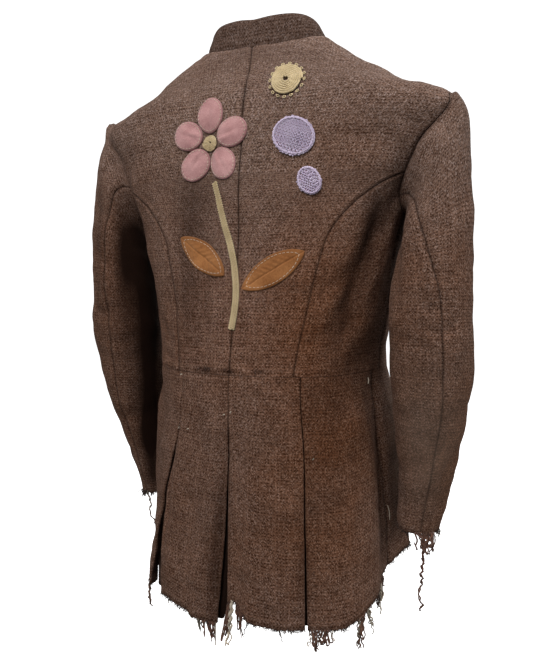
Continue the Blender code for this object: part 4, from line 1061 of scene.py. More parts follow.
def wool_material():
    """Brown heathered wool: flecked threads in a loose small check, with faint panes, and painted
    light and shade.
    """
    shader = Shader("Brown wool")
    uv = shader.term("UVMap", "UV", uv_map="Cloth")
    wander = shader.term("TexNoise", "Color", {"Vector": uv, "Scale": 26.0, "Detail": 1.0})
    shift = shader.vector("SCALE", shader.vector("SUBTRACT", wander, (0.5, 0.5, 0.5)), CHECK * 0.9)
    bent = shader.vector("ADD", uv, shift)
    sides = [shader.term("SeparateXYZ", axis, {0: bent}) for axis in "XY"]
    across, along = (side / CHECK for side in sides)
    column = shader.math("FLOOR", across)
    row = shader.math("FLOOR", along)
    beside = shader.off_middle(across)
    above = shader.off_middle(along)
    hole = shader.spread(beside * beside + above * above, 0.12, 0.02)
    hole = hole * shader.spread(shader.chance(shader.point(column, row)), -0.25, 0.85)
    crossing = shader.vector("FLOOR", shader.vector("SCALE", bent, 1 / THREAD_PITCH))
    fleck = shader.chance(crossing)
    warp = shader.noise(shader.point(column * 0.731, along * 0.55), 1.0, 3.0, 0.6)
    weft = shader.noise(shader.point(across * 0.55, row * 0.731, 7.7), 1.0, 3.0, 0.6)
    upright = shader.spread(beside - above, -0.2, 0.2)
    fiber = shader.noise(uv, 620.0, 2.0, 0.75)
    stretch = shader.term("Mapping", 0, {"Vector": uv, "Scale": (1.0, 0.05, 1.0)})
    streaks = shader.noise(stretch, 110.0, 3.0, 0.6)
    panes = [shader.spread(shader.off_middle(side / pitch), 0.09, 0.03)
             for side, pitch in zip(sides, PANE_PITCHES)]
    patch = shader.noise(shader.place(), 9.0, 3.0, 0.55)
    blotch = shader.noise(shader.place(), 42.0, 3.0, 0.6)
    light = (warp * upright + weft * (1.0 - upright)) * 0.50 + fiber * 0.60 + fleck * 0.50
    light = light + streaks * 0.45 + shader.math("MAXIMUM", *panes) * 0.13 + blotch * 0.25
    light = shader.spread(light - above * 1.15 - beside * 0.85, 0.22, 0.97)
    # Painted light: the share of the grey palette grows higher up the jacket, where more light
    # falls, on top of the random mottling
    height = shader.term("SeparateXYZ", "Z", {0: shader.place()})
    mottle_and_painted_light = patch * 0.9 + shader.spread(height, -0.30, -0.06) * 0.50
    # Painted shade: the places in shade are pulled toward the redder palette
    for shade_warmth in SHADE_WARMTH_SPOTS:
        offset = shader.vector("SUBTRACT", shader.place(), shade_warmth.middle)
        offset = shader.vector("DIVIDE", offset, (shade_warmth.reach, shade_warmth.reach, shade_warmth.height))
        mottle_and_painted_light = mottle_and_painted_light - shader.spread(shader.vector("LENGTH", offset), 1.1, 0.3) * shade_warmth.share
    mottle_and_painted_light = shader.spread(mottle_and_painted_light, -0.08, 0.92)
    color = shader.mix(mottle_and_painted_light, shader.mix(light, WOOL_DARK_RED, WOOL_LIGHT_RED),
                       shader.mix(light, WOOL_DARK_GREY, WOOL_LIGHT_GREY))
    color = shader.mix(hole * 0.62, color, WOOL_HOLE_AND_SHADE)
    speck = shader.chance(shader.vector("ADD", crossing, (0.37, 0.61, 5.3)))
    color = shader.mix(shader.spread(speck, 0.74, 0.98) * SPECK_SHARE, color,
                       shader.mix(mottle_and_painted_light, SPECK_RED, SPECK_GREY))
    ragged = shader.attribute("fray") * shader.spread(warp, 0.25, 0.6)
    # seam darkens the seams and ragged the torn edges; inside darkens every inner skin, as painted
    # shade of the shadowed inside of the jacket together with the darker unfaded inner cloth
    for share in (shader.attribute("seam") * 0.50, ragged * 0.8, shader.attribute("inside") * 0.7):
        color = shader.mix(share, color, WOOL_HOLE_AND_SHADE)
    # Painted shade and painted light from the patches: below 0 the cloth darkens, above 0 it pales
    painted_shade_and_light = shader.attribute("worn")
    color = shader.mix(shader.math("MULTIPLY", painted_shade_and_light, -1.0, clamp=True), color, WOOL_HOLE_AND_SHADE)
    color = shader.mix(shader.math("MULTIPLY", painted_shade_and_light, 1.0, clamp=True), color, WOOL_PAINTED_LIGHT)
    shader.bump(light * 0.6 - hole * 0.8 + fiber * 0.5, 0.0006, 0.8)
    return shader.finish(color, 0.95, 0.02, (0.80, 0.60, 0.50, 1))


def thread_material():
    """Loose threads, each with its own tone from dark brown to cream."""
    shader = Shader("Loose threads")
    ramp = shader.term("ValToRGB", "Color", {"Fac": shader.attribute("tone")})
    stops = ramp.socket.node.color_ramp.elements
    stops[0].color = THREAD_COLORS[0][1]
    stops[1].color = THREAD_COLORS[-1][1]
    for position, color in THREAD_COLORS[1:-1]:
        stops.new(position).color = color
    fiber = shader.noise(shader.place(), 1600.0, 3.0)
    color = shader.mix(fiber * 0.4, ramp, (0.010, 0.006, 0.004, 1))
    shader.bump(fiber, 0.0002)
    return shader.finish(color, 0.9, 0.2)


def yarn_material(name, dark, light, roughness=0.75):
    """Twisted yarn: fine slanting plies and small fibres."""
    shader = Shader(name)
    place = shader.place()
    twist = shader.term("TexWave", "Fac", {"Vector": place, "Scale": 330.0, "Distortion": 1.5,
                                           "Detail": 2.0}, bands_direction="DIAGONAL")
    height = twist + shader.noise(place, 1300.0, 3.0, 0.7)
    tone = height * 0.4 + shader.noise(place, 60.0, 2.0) * 0.35
    color = shader.mix(shader.spread(tone, 0.3, 0.85), dark, light)
    shader.bump(height, 0.0005)
    return shader.finish(color, roughness, 0.3)


def felt_material():
    """Dusty pink felted wool, mottled, with a soft nap."""
    shader = Shader("Dusty pink felt")
    fiber = shader.noise(shader.place(), 750.0, 4.0, 0.75)
    tone = shader.noise(shader.place(), 45.0, 4.0, 0.6) * 0.6 + fiber * 0.5
    color = shader.mix(shader.spread(tone, 0.35, 0.8), (0.27, 0.125, 0.125, 1),
                       (0.53, 0.315, 0.305, 1))
    color = shader.mix(shader.attribute("edge") * 0.45, color, (0.16, 0.060, 0.060, 1))
    shader.bump(fiber, 0.0006)
    return shader.finish(color, 0.95, 0.45, (0.95, 0.75, 0.75, 1))


def suede_material():
    """Tan suede: brushed nap, scuffs and darker worn edges."""
    shader = Shader("Tan suede")
    nap = shader.noise(shader.place(), 520.0, 4.0, 0.7)
    tone = shader.noise(shader.place(), 38.0, 5.0, 0.65) * 0.7 + nap * 0.35
    color = shader.mix(shader.spread(tone, 0.36, 0.72), (0.150, 0.052, 0.014, 1),
                       (0.330, 0.145, 0.052, 1))
    color = shader.mix(shader.attribute("edge") * 0.5, color, (0.090, 0.030, 0.009, 1))
    shader.bump(nap, 0.0003, 0.7)
    return shader.finish(color, 0.85, 0.35, (1.0, 0.75, 0.5, 1))


def horn_material():
    """Dark polished horn with faint cloudy bands."""
    shader = Shader("Dark horn")
    cloud = shader.noise(shader.place(), 160.0, 4.0, 0.6)
    color = shader.mix(shader.spread(cloud, 0.4, 0.7), (0.012, 0.008, 0.006, 1),
                       (0.060, 0.036, 0.022, 1))
    shader.bump(shader.noise(shader.place(), 900.0, 2.0), 0.0001, 0.4)
    material = shader.finish(color, shader.spread(cloud, -0.6, 2.2))
    shader.surface.inputs["Specular IOR Level"].default_value = 0.5
    return material


# Pieces of cloth

def body_panel(name, levels, first, last, side, material, depth=None, lap=0.0, seams="lrbt"):
    """A panel of the bodice; seams tells which edges are sewn: left, right, bottom, top."""
    half_gap = SEAM_GAP / 2
    start = first + half_gap * degrees_per_metre(first, levels)
    end = last - half_gap * degrees_per_metre(last, levels)
    width = float(((end - start) / degrees_per_metre((start + end) / 2, levels)).max())
    turn = start[:, None] + (end - start)[:, None] * dense_shares(width)
    if lap:
        turn = np.concatenate([turn, end[:, None] + lap * np.linspace(0.08, 1, 9)], axis=1)
    level = np.broadcast_to(levels[:, None], turn.shape)
    sink = 0.0 if depth is None else depth(turn)
    turn = turn * side
    base = body(turn, level)
    across = distance_along(base, 1)
    up = distance_along(base, 0)
    roll = np.zeros_like(across)
    seam = np.zeros_like(across)
    distances = {"l": across, "r": across[:, -1:] - across, "b": up, "t": up[-1:] - up}
    for edge in seams:
        share = waist_share(turn) if edge == "b" else 1.0
        roll += share * seam_roll(distances[edge])
        seam = np.maximum(seam, share * seam_closeness(distances[edge]))
    out = body_out(turn, level) + roll - sink
    outer = body(turn, level, out)
    inner = body(turn, level, out - CLOTH)
    piece = cloth_wall(name + "_cloth", outer, inner, seam, np.zeros_like(seam), material)
    dress(piece, [name], outer)


def fine_levels(low, high, special):
    """Levels of the rows of a panel, closer together at both ends."""
    levels = low + (high - low) * dense_shares(high - low)
    keep = np.array([np.abs(np.array(special) - level).min() > 0.0008 for level in levels])
    return np.unique(np.concatenate([levels[keep], special]))


def under_lap(turn):
    """How deep the right front lies so that the left front laps over it."""
    share = np.clip((turn - LAP_START) / (FRONT_TURN - LAP - LAP_START), 0, 1)
    return LAP_DEPTH * ease(share)


def make_bodice(material):
    waist = WAIST_LEVEL + SEAM_GAP / 2
    jog = [PRINCESS_TOP - 0.0005, PRINCESS_TOP + 0.0005]
    rows = fine_levels(waist, NECK_LEVEL, [waist, *jog, SHOULDER_LEVEL, NECK_LEVEL])
    low = rows[rows < PRINCESS_TOP]
    low[-1] -= SEAM_GAP
    front_rows = fine_levels(waist, NECK_LEVEL,
                             [waist, UNDERARM_LEVEL, 0.5075, 0.6555, SHOULDER_LEVEL, NECK_LEVEL])
    for side, word in ((1, "left"), (-1, "right")):
        outer_edge = np.where(rows < PRINCESS_TOP, princess(rows), armhole_back(rows))
        body_panel("back_" + word, rows, np.zeros_like(rows), outer_edge, side, material)
        side_edge = np.where(low <= UNDERARM_LEVEL, SIDE_TURN, armhole_back(low))
        body_panel("side_back_" + word, low, princess(low + SEAM_GAP), side_edge, side, material,
                   seams="lrb")
        within = (front_rows > UNDERARM_LEVEL) & (front_rows < SHOULDER_LEVEL)
        front_edge = np.where(within, armhole_front(front_rows), SIDE_TURN)
        body_panel("front_" + word, front_rows, front_edge,
                   np.full_like(front_rows, FRONT_TURN), side, material,
                   under_lap if side < 0 else None, LAP, seams="lbt")


def seam_allowance(name, turns, levels, material):
    """The pressed edges of the cloth behind a seam of the bodice, darkened with painted shade."""
    aside = np.linspace(-ALLOWANCE, ALLOWANCE, 9)
    turn = turns[:, None] + aside * degrees_per_metre(turns, levels)[:, None]
    level = np.broadcast_to(levels[:, None], turn.shape)
    out = body_out(turn, level) + seam_roll(np.abs(aside)) - CLOTH - ALLOWANCE_GAP
    outer = body(turn, level, out)
    inner = body(turn, level, out - ALLOWANCE_CLOTH)
    flat = np.zeros(turn.shape)
    piece = cloth_wall(name, outer, inner, flat, flat, material, tone=UNDERLAY_PAINTED_SHADE / 2)
    dress(piece, [])


def make_seam_allowances(material):
    """Seam allowances inside the bodice: centre back, princess, side and shoulder seams."""
    waist = WAIST_LEVEL + 0.001
    high = np.linspace(waist, NECK_LEVEL - 0.001, 70)
    low = np.linspace(waist, UNDERARM_LEVEL - 0.004, 36)
    curved = np.linspace(waist, 0.500, 36)
    shoulder = np.linspace(SHOULDER_LEVEL + 0.003, NECK_LEVEL - 0.001, 12)
    seam_allowance("allowance_center", np.zeros_like(high), high, material)
    for side, word in ((1, "left"), (-1, "right")):
        seam_allowance("allowance_side_" + word, np.full_like(low, SIDE_TURN * side), low, material)
        seam_allowance("allowance_princess_" + word, princess(curved) * side, curved, material)
        seam_allowance("allowance_shoulder_" + word, np.full_like(shoulder, SIDE_TURN * side),
                       shoulder, material)


def make_collar(material):
    """A stand collar with a soft roll along its top edge."""
    turn = np.linspace(FRONT_TURN - COLLAR_OPENING, COLLAR_OPENING - FRONT_TURN, 150)
    shares = dense_shares(COLLAR_HEIGHT, 0.003)
    start, end = COLLAR_DROP_TURNS
    front = np.clip((np.abs(turn) - start) / (end - start), 0, 1)
    height = COLLAR_HEIGHT - COLLAR_DROP * ease(front)
    foot = plain_body(turn, NECK_LEVEL)
    away = unit(foot[:, :2])
    skins = []
    for sink in (0.0, CLOTH):
        rows = []
        for share in shares:
            row = foot.copy()
            bulge = COLLAR_BULGE * math.sin(math.pi * share)
            roll = 0.5 * (seam_roll(share * COLLAR_HEIGHT) + seam_roll((1 - share) * COLLAR_HEIGHT))
            wave = ripple(row + [0, 0, share * COLLAR_HEIGHT])
            inward = COLLAR_LEAN * share + sink - bulge - roll - wave
            row[:, :2] -= away * np.asarray(inward)[:, None]
            row[:, 2] += height * share - COLLAR_SEAT * (1 - share)
            rows.append(row)
        skins.append(np.array(rows))
    shade = np.broadcast_to(seam_closeness(shares * COLLAR_HEIGHT)[:, None], skins[0].shape[:2])
    piece = cloth_wall("collar_cloth", *skins, shade, np.zeros_like(shade), material,
                       tone=COLLAR_TONE)
    dress(piece, ["collar"], skins[0])


def sleeve_half(name, first, last, creases, side, material):
    """A piece of a sleeve between two seams, with its creases and its torn cuff."""
    run = dense_shares(SLEEVE_LENGTH)
    start = first(run) + SLEEVE_SEAM_ANGLE
    end = last(run) - SLEEVE_SEAM_ANGLE
    width = float(np.radians(end - start).max()) * SLEEVE_RADIUS
    angle = start[:, None] + (end - start)[:, None] * dense_shares(width)
    runs = np.broadcast_to(run[:, None], angle.shape)
    outer = sleeve(angle, runs, 0.0, side)
    inner = sleeve(angle, runs, CLOTH, side)
    normals = unit(outer - inner)
    across = distance_along(outer, 1)
    along = distance_along(outer, 0)
    edges = (across, across[:, -1:] - across)
    seam = np.maximum.reduce([seam_closeness(distance) for distance in (*edges, along)])
    lines = crease_lines(creases, lambda a, r: sleeve(a, r, 0.0, side))
    folds = crease_depth(outer, normals, lines) + ripple(mirrored(outer, side))
    out = (sum(seam_roll(distance) for distance in edges) + folds) * np.clip(runs / 0.06, 0, 1)
    to_cuff = along[-1:] - along
    notch = notches(np.radians(angle) * SLEEVE_RADIUS) * bell(to_cuff, NOTCH_REACH)
    move = normals * out[..., None] - [0, 0, 1] * notch[..., None]
    piece = cloth_wall(name + "_cloth", mirrored(outer + move, side), mirrored(inner + move, side),
                       seam, bell(to_cuff, FRAY_REACH), material)
    dress(piece, [name], outer + move)


def make_sleeves(material):
    for side, word, hind, creases in ((1, "left", HIND_SEAM_LEFT, SLEEVE_CREASES_LEFT),
                                      (-1, "right", HIND_SEAM_RIGHT, SLEEVE_CREASES_RIGHT)):
        sleeve_half("sleeve_upper_" + word, lambda run: fore_seam(run) - 360,
                    lambda run: read(hind, run), creases, side, material)
        sleeve_half("sleeve_under_" + word, lambda run: read(hind, run), fore_seam, creases,
                    side, material)


def notches(place):
    """How far a torn edge reaches down at a place along it, in metres."""
    small = sum(np.sin(place * f + p) for f, p in ((700, 0.4), (1310, 2.1), (2170, 4.0)))
    large = np.sin(place * 190 + 1.3) + np.sin(place * 83 + 0.2)
    return NOTCH_DEPTH * (0.5 + 0.11 * small + 0.12 * large)


def fold_skin(skin, open_angle, pressed):
    """Cross-section of a pleat's fold as (distance from the edge, depth), panel side first."""
    power = 1 - 0.7 * pressed * skin
    center = CLOTH + FOLD_RADIUS
    radius = FOLD_RADIUS + CLOTH * skin
    angles = np.radians(FOLD_ANGLES)
    along = center - radius * signed_power(np.cos(angles), power)
    depth = center + radius * signed_power(np.sin(angles), power)
    reach = FOLD_RETURN * np.linspace(0.25, 1, 4)
    return (np.concatenate([along, center + reach * math.cos(open_angle)]),
            np.concatenate([depth, depth[-1] + reach * math.sin(open_angle)]))


def edges_at(first, last, level):
    """Turns of both edges of a panel at a level, and the degrees that a metre takes there."""
    start = float(read(first, level))
    end = float(read(last, level))
    return start, end, float(degrees_per_metre((start + end) / 2, level))


def skirt_panel(name, first, last, first_fold, last_fold, material):
    """A panel of the skirt; a fold is how far its pleat opens at the hem, or None.

    Returns the torn edge as turns and points.
    """
    shares = dense_shares(WAIST_LEVEL, WAIST_LEVEL / SKIRT_ROWS)
    start, end, per_metre = edges_at(first, last, SKIRT_WIDTH_LEVEL)
    middle = dense_shares((end - start) / per_metre)
    inset = CLOTH + FOLD_RADIUS
    skins = []
    for skin in (1, 0):
        turn_rows = []
        depth_rows = []
        for share in shares:
            start, end, per_metre = edges_at(first, last, WAIST_LEVEL * share)
            pressed = min(max((share - PRESSED_FROM) / PRESSED_OVER, 0.0), 1.0)
            begin = start if first_fold is None else start + inset * per_metre
            finish = end if last_fold is None else end - inset * per_metre
            turns = [begin + (finish - begin) * middle]
            depths = [np.full(len(middle), CLOTH * (1 - skin))]
            if first_fold is not None:
                along, depth = fold_skin(skin, math.radians(first_fold) * (1 - share), pressed)
                turns.insert(0, start + along[:0:-1] * per_metre)
                depths.insert(0, depth[:0:-1])
            if last_fold is not None:
                along, depth = fold_skin(skin, math.radians(last_fold) * (1 - share), pressed)
                turns.append(end - along[1:] * per_metre)
                depths.append(depth[1:])
            turn_rows.append(np.concatenate(turns))
            depth_rows.append(np.concatenate(depths))
        turns = np.array(turn_rows)
        clipped = np.clip(turns, read(first, WAIST_LEVEL * shares)[:, None],
                          read(last, WAIST_LEVEL * shares)[:, None])
        bottom = hem_level(clipped)
        level = bottom + (WAIST_LEVEL - SEAM_GAP / 2 - bottom) * shares[:, None]
        base = body(turns, level)
        up = distance_along(base, 0)
        walk = distance_along(base, 1)
        roll = waist_share(turns) * seam_roll(up[-1:] - up)
        seam = waist_share(turns) * seam_closeness(up[-1:] - up)
        for fold, column in ((first_fold, 0), (last_fold, -1)):
            if fold is None:
                aside = np.abs(walk - walk[:, column][:, None])
                roll = roll + seam_roll(aside)
                seam = np.maximum(seam, seam_closeness(aside))
        out = body_out(turns, level) + roll
        points = body(turns, level, out - np.array(depth_rows))
        metres = clipped / degrees_per_metre(clipped[0].mean(), 0.05)
        points[..., 2] -= notches(metres) * bell(up, NOTCH_REACH)
        skins.append(points)
    piece = cloth_wall(name + "_cloth", *skins, seam, bell(up, FRAY_REACH), material)
    dress(piece, [name], skins[0])
    fold_columns = len(FOLD_ANGLES) + 3
    flat = slice(None if first_fold is None else fold_columns,
                 None if last_fold is None else -fold_columns)
    return turns[0][flat], ((skins[0][0] + skins[1][0]) / 2)[flat]


def pleat_under(name, first, last, open_angle, material):
    """The strip of cloth behind a pleat, darkened with painted shade."""
    base = 2 * CLOTH + 2 * FOLD_RADIUS + 2 * SEAM_GAP
    shares = dense_shares(WAIST_LEVEL, 0.006)
    skins = []
    for skin in (1, 0):
        grid = []
        for share in shares:
            start, end, per_metre = edges_at(first, last, WAIST_LEVEL * share)
            reach = (CLOTH + FOLD_RADIUS + FOLD_RETURN) * per_metre
            turns = np.linspace(start - reach, end + reach, 24)
            opening = math.radians(open_angle) * (1 - share)
            depth = base + FOLD_RETURN * math.sin(opening) + CLOTH * (1 - skin)
            bottom = hem_level(turns) + UNDERLAY_RISE
            level = bottom + (WAIST_LEVEL - SEAM_GAP / 2 - bottom) * share
            grid.append(body(turns, level, body_out(turns, level) - depth))
        skins.append(np.array(grid))
    up = distance_along(skins[0], 0)
    piece = cloth_wall(name + "_cloth", *skins, seam_closeness(up[-1:] - up),
                       bell(up, FRAY_REACH), material, tone=UNDERLAY_PAINTED_SHADE)
    dress(piece, [name], skins[0])


def make_skirt(material):
    """The skirt's panels and the strips behind its pleats; returns the torn edges by name."""
    seam = SKIRT_SIDE - SKIRT_SEAM_TURN
    front_seam = SKIRT_SIDE + SKIRT_SEAM_TURN
    front_edge = FRONT_TURN - SKIRT_FRONT_TURN
    panels = [
        ("back_left", CENTER_LEFT_EDGE, LEFT_INNER_EDGE, CENTER_PLEAT_OPEN, LEFT_PLEAT_OPEN),
        ("back_right", RIGHT_INNER_EDGE, CENTER_RIGHT_EDGE, RIGHT_PLEAT_OPEN, CENTER_PLEAT_OPEN),
        ("side_left", LEFT_OUTER_EDGE, constant(seam), LEFT_PLEAT_OPEN, None),
        ("side_right", constant(-seam), RIGHT_OUTER_EDGE, None, RIGHT_PLEAT_OPEN),
        ("front_left", constant(front_seam), constant(front_edge), None, None),
        ("front_right", constant(-front_edge), constant(-front_seam), None, None),
    ]
    edges = {panel[0]: skirt_panel("skirt_" + panel[0], *panel[1:], material) for panel in panels}
    pleat_under("pleat_under_center", CENTER_RIGHT_EDGE, CENTER_LEFT_EDGE, CENTER_PLEAT_OPEN,
                material)
    pleat_under("pleat_under_left", LEFT_INNER_EDGE, LEFT_OUTER_EDGE, LEFT_PLEAT_OPEN, material)
    pleat_under("pleat_under_right", RIGHT_OUTER_EDGE, RIGHT_INNER_EDGE, RIGHT_PLEAT_OPEN,
                material)
    return edges


# Torn edges

def loose_threads(roots, length, lean, curl, radius, points=6):
    """Hanging threads from their roots, each with its own lean and curl."""
    count = len(roots)
    t = np.linspace(0, 1, points)
    aside = unit(np.stack([rng.normal(size=count), rng.normal(size=count), np.zeros(count)], -1))
    phase = rng.uniform(0, 2 * np.pi, count)
    lines = np.repeat(roots[:, None], points, axis=1)
    lines[..., 2] -= t * np.asarray(length)[:, None] * math.cos(math.radians(lean))
    sway = np.radians(lean) * t * np.asarray(length)[:, None]
    wave = curl * np.sin(phase[:, None] + t * 5.0) * t * np.asarray(length)[:, None]
    lines = lines + aside[:, None] * (sway + wave)[..., None]
    radii = np.broadcast_to(radius * (1 - 0.5 * t), (count, points))
    normals = np.broadcast_to(np.array([0.6, 0.8, 0.0]), lines.shape)
    return lines, radii, normals


def edge_points(turns, points, places):
    """Points of a torn edge at some turns."""
    order = np.argsort(turns)
    return np.stack([np.interp(places, turns[order], points[order, axis]) for axis in range(3)], -1)


def hanging_lines(item, root, tangent):
    """The yarns of a long thread or a torn clump, as (lines, radii, normals, sides, tone)."""
    points = 34
    rope = item.strands > 1 and item.width < ROPE_WIDTH
    shared = rng.uniform(0, 2 * np.pi, 5)
    t = np.linspace(0, 1, points)
    facing = np.array([tangent[1], -tangent[0], 0])
    lean = math.tan(math.radians(item.lean))
    reach = min(0.06 * item.length, 0.0032)
    batches = []
    for strand in range(item.strands):
        aside = (strand + 0.5) / item.strands - 0.5
        phase = shared if rope else rng.uniform(0, 2 * np.pi, 5)
        length = item.length * (rng.uniform(0.55, 1.0) if item.strands > 3 else 1.0)
        fall = length * t
        travel = 0.0
        if rng.random() < item.loops:
            fall = length * rng.uniform(0.6, 1.0) * np.sin(np.pi * t * rng.uniform(0.8, 0.97))
            travel = rng.uniform(-0.6, 0.6) * item.width * t
        turns = length / 0.030
        sway = reach * np.sin(2 * np.pi * turns * t + phase[0]) * t
        sway = sway + 0.35 * reach * np.sin(2 * np.pi * 2.7 * turns * t + phase[1])
        depth = reach * np.sin(2 * np.pi * 0.8 * turns * t + phase[2]) * t
        twist = 0.0008 * np.sin(2 * np.pi * length / 0.009 * t + phase[3])
        offset = aside * item.width * (1 - item.gather * t) + lean * fall + sway + travel + twist
        line = (root + tangent * offset[:, None] - [[0, 0, 1]] * fall[:, None]
                + facing * (depth + twist + rng.uniform(-0.3, 0.3) * item.width * t)[:, None])
        if rope:
            ply = 2 * np.pi * (length / ROPE_PITCH * t + strand / item.strands)
            line = line + 0.8 * item.radius * (tangent * np.cos(ply)[:, None]
                                               + facing * np.sin(ply)[:, None])
        radius = rng.uniform(0.80, 1.15) * item.radius * HANGING_FULLNESS
        tone = float(np.clip(TONES[item.tone] + rng.uniform(-0.10, 0.10), 0, 1))
        batches.append((line[None], np.full((1, points), radius) * (1 - 0.45 * t),
                        np.broadcast_to([0.5, 0.7, 0.5], line[None].shape), 5, tone))
    return batches


def fringe(name, place_point, places, length_of_edge, hanging, replaced, material):
    """The dense fray of one torn edge and what hangs from it."""
    count = int(length_of_edge / FRAY_SPACING)
    spots = np.sort(rng.uniform(places[0], places[1], count))
    roots = place_point(spots) + [0, 0, 0.0018]
    span = np.linspace(0, length_of_edge, count)
    tufts = sum(np.sin(2 * np.pi * span / pitch + rng.uniform(0, 6.3))
                for pitch in (0.007, 0.013, 0.031))
    length = 0.0026 + rng.uniform(*FRAY_LENGTH, count) * np.clip(0.45 + 0.20 * tufts, 0.15, 0.9)
    lines, radii, normals = loose_threads(roots, length, 24, 0.5, FRAY_RADIUS)
    batches = [(lines, radii, normals, 3, np.clip(rng.normal(0.16, 0.09, count), 0, 0.5))]
    long_spots = rng.uniform(places[0], places[1], count // 16)
    long_roots = place_point(long_spots) + [0, 0, 0.0015]
    reach = rng.uniform(0.009, 0.018, len(long_spots))
    lines, radii, normals = loose_threads(long_roots, reach, 32, 0.7, FRAY_RADIUS * 0.8, 9)
    batches.append((lines, radii, normals, 3, np.clip(rng.normal(0.25, 0.2, len(reach)), 0, 1)))
    for item in hanging:
        root = place_point(np.array([item.place]))[0] + [0, 0, 0.001]
        beside = place_point(np.array([item.place + 0.5]))[0] + [0, 0, 0.001]
        batches += hanging_lines(item, root, unit(beside - root))
    dress(tube_object(name, batches, material), [replaced])


def make_tacks(material):
    """Short ends of pale tacking thread in the skirt, and ravelled threads at the waist."""
    batches = []
    t = np.linspace(0, 1, 6)
    for tack in TACKS:
        aside = (t - 0.5) * tack.length * math.sin(math.radians(tack.lean))
        level = tack.level - (t - 0.5) * tack.length * math.cos(math.radians(tack.lean))
        turn = tack.turn + aside * degrees_per_metre(tack.turn, tack.level)
        line = worn(turn, level, TACK_RADIUS * (0.2 + 1.6 * np.sin(np.pi * t)))
        batches.append((line[None], np.full((1, 6), TACK_RADIUS), outward(turn, level)[None], 6,
                        TONES[tack.tone]))
    for first, last in WAIST_RAVELS:
        count = int(abs(last - first) * 3)
        turns = rng.uniform(first, last, count)
        roots = worn(turns, rng.uniform(*RAVEL_LEVELS, count), 0.0002)
        length = rng.uniform(*RAVEL_LENGTH, count)
        lines, radii, normals = loose_threads(roots, length, 40, 0.6, 0.00032)
        batches.append((lines, radii, normals, 4, np.clip(rng.normal(0.25, 0.16, count), 0, 0.9)))
    dress(tube_object("tacking_threads", batches, material), [])


def make_buttonholes(material):
    """Worked buttonholes: close stitches on both sides of a slit, and a bar at its end."""
    first, last = BUTTONHOLE
    for number, level in enumerate(BUTTON_LEVELS, 1):
        ends = []
        for along in np.arange(first, last, BUTTONHOLE_PITCH):
            for side in (-1, 1):
                ends.append(((along, side * 0.0003), (along + 0.0001, side * 0.0022)))
        for along in np.arange(last, last + 0.0012, 0.0004):
            ends.append(((along, -0.0020), (along, 0.0020)))
        ends = np.array(ends)
        t = np.linspace(0, 1, 4)
        flat = ends[:, :1] + (ends[:, 1:] - ends[:, :1]) * t[:, None]
        turn = FRONT_TURN - flat[..., 0] * degrees_per_metre(FRONT_TURN, level)
        lift = 0.0001 + 0.0004 * np.sin(np.pi * t)
        lines = worn(turn, level + flat[..., 1], np.broadcast_to(lift, turn.shape))
        normals = outward(turn, level + flat[..., 1])
        piece = tube_object(f"buttonhole_{number}",
                            [(lines, np.full(turn.shape, 0.00032), normals, 5, 0.2)], material)
        dress(piece, [])


def make_fringes(edges, material):
    for fray in HEM_FRAYS:
        turns, points = edges[fray.name]
        length = float(np.linalg.norm(np.diff(points, axis=0), axis=-1).sum())
        hanging = [item for item in HANGING if item.fray == fray.name]
        fringe("fray_" + fray.name, lambda spots: edge_points(turns, points, spots),
               (fray.first, fray.last), length, hanging, "hem_fray_" + fray.name, material)
    for side, word in ((1, "left"), (-1, "right")):
        hanging = [item for item in HANGING if item.fray == word]
        fringe("fray_cuff_" + word,
               lambda angle: mirrored(sleeve(angle, 1.0, CLOTH / 2, side), side),
               (0.0, 360.0), 0.22, hanging, "cuff_fray_" + word, material)


# Buttons

def make_buttons(material, thread):
    """Flat horn buttons with a rim and a dished face, and the threads that cross it."""
    angle = 2 * np.pi * np.arange(BUTTON_STEPS) / BUTTON_STEPS
    circle = np.stack([np.cos(angle), np.sin(angle)], -1) * BUTTON_RADIUS
    rings = np.array([np.column_stack([circle * r, np.full(BUTTON_STEPS, h * BUTTON_HEIGHT)])
                      for r, h in BUTTON_PROFILE])
    index = np.arange(rings[..., 0].size).reshape(rings.shape[:2])
    faces = [*quads(index, ring=True), index[0], index[-1][::-1]]
    t = np.linspace(0, 1, 7)
    height = BUTTON_HEIGHT * (0.55 + 0.28 * np.sin(np.pi * t))
    corners = np.array([(-1, -1), (-1, 1), (1, -1), (1, 1)]) * BUTTON_RADIUS * 0.2
    crossing = np.array([np.column_stack([corner * (1 - 2 * t[:, None]), height])
                         for corner in corners])
    for number, level in enumerate(BUTTON_LEVELS, 1):
        away = Vector(outward(FRONT_TURN, level))
        turned = away.to_track_quat("Z", "Y").to_matrix().to_4x4()
        matrix = np.array(Matrix.Translation(Vector(body(FRONT_TURN, level, LIFT))) @ turned)
        points, lines = (spots @ matrix[:3, :3].T + matrix[:3, 3] for spots in (rings, crossing))
        button = new_object(f"horn_button_{number}", points.reshape(-1, 3), faces, material)
        dress(button, [f"button_{number}"])
        normals = np.broadcast_to(np.array(away), lines.shape)
        cross = tube_object(f"button_thread_{number}",
                            [(lines, np.full(lines.shape[:2], 0.00045), normals, 6, 0.3)], thread)
        dress(cross, [])


# Sewn-on pieces

def on_back(x, level, height):
    """Point above the worn cloth of the back."""
    return worn(turn_at(x, level), level, LIFT + height)


def motif_place(motif, along, aside):
    """Place on the back (x, level) of a place in a cut-out piece."""
    turned = math.radians(motif.angle)
    x = motif.x + along * math.cos(turned) - aside * math.sin(turned)
    level = motif.level + along * math.sin(turned) + aside * math.cos(turned)
    return x, level


def motif_edge(motif, angle, scale):
    """Edge of a cut-out piece at an angle round its middle: round, or a leaf with two points."""
    thin = np.abs(np.sin(angle)) ** 0.5 if motif.kind == "leaf" else 1.0
    return motif.long * scale * np.cos(angle), motif.wide * scale * np.sin(angle) * thin


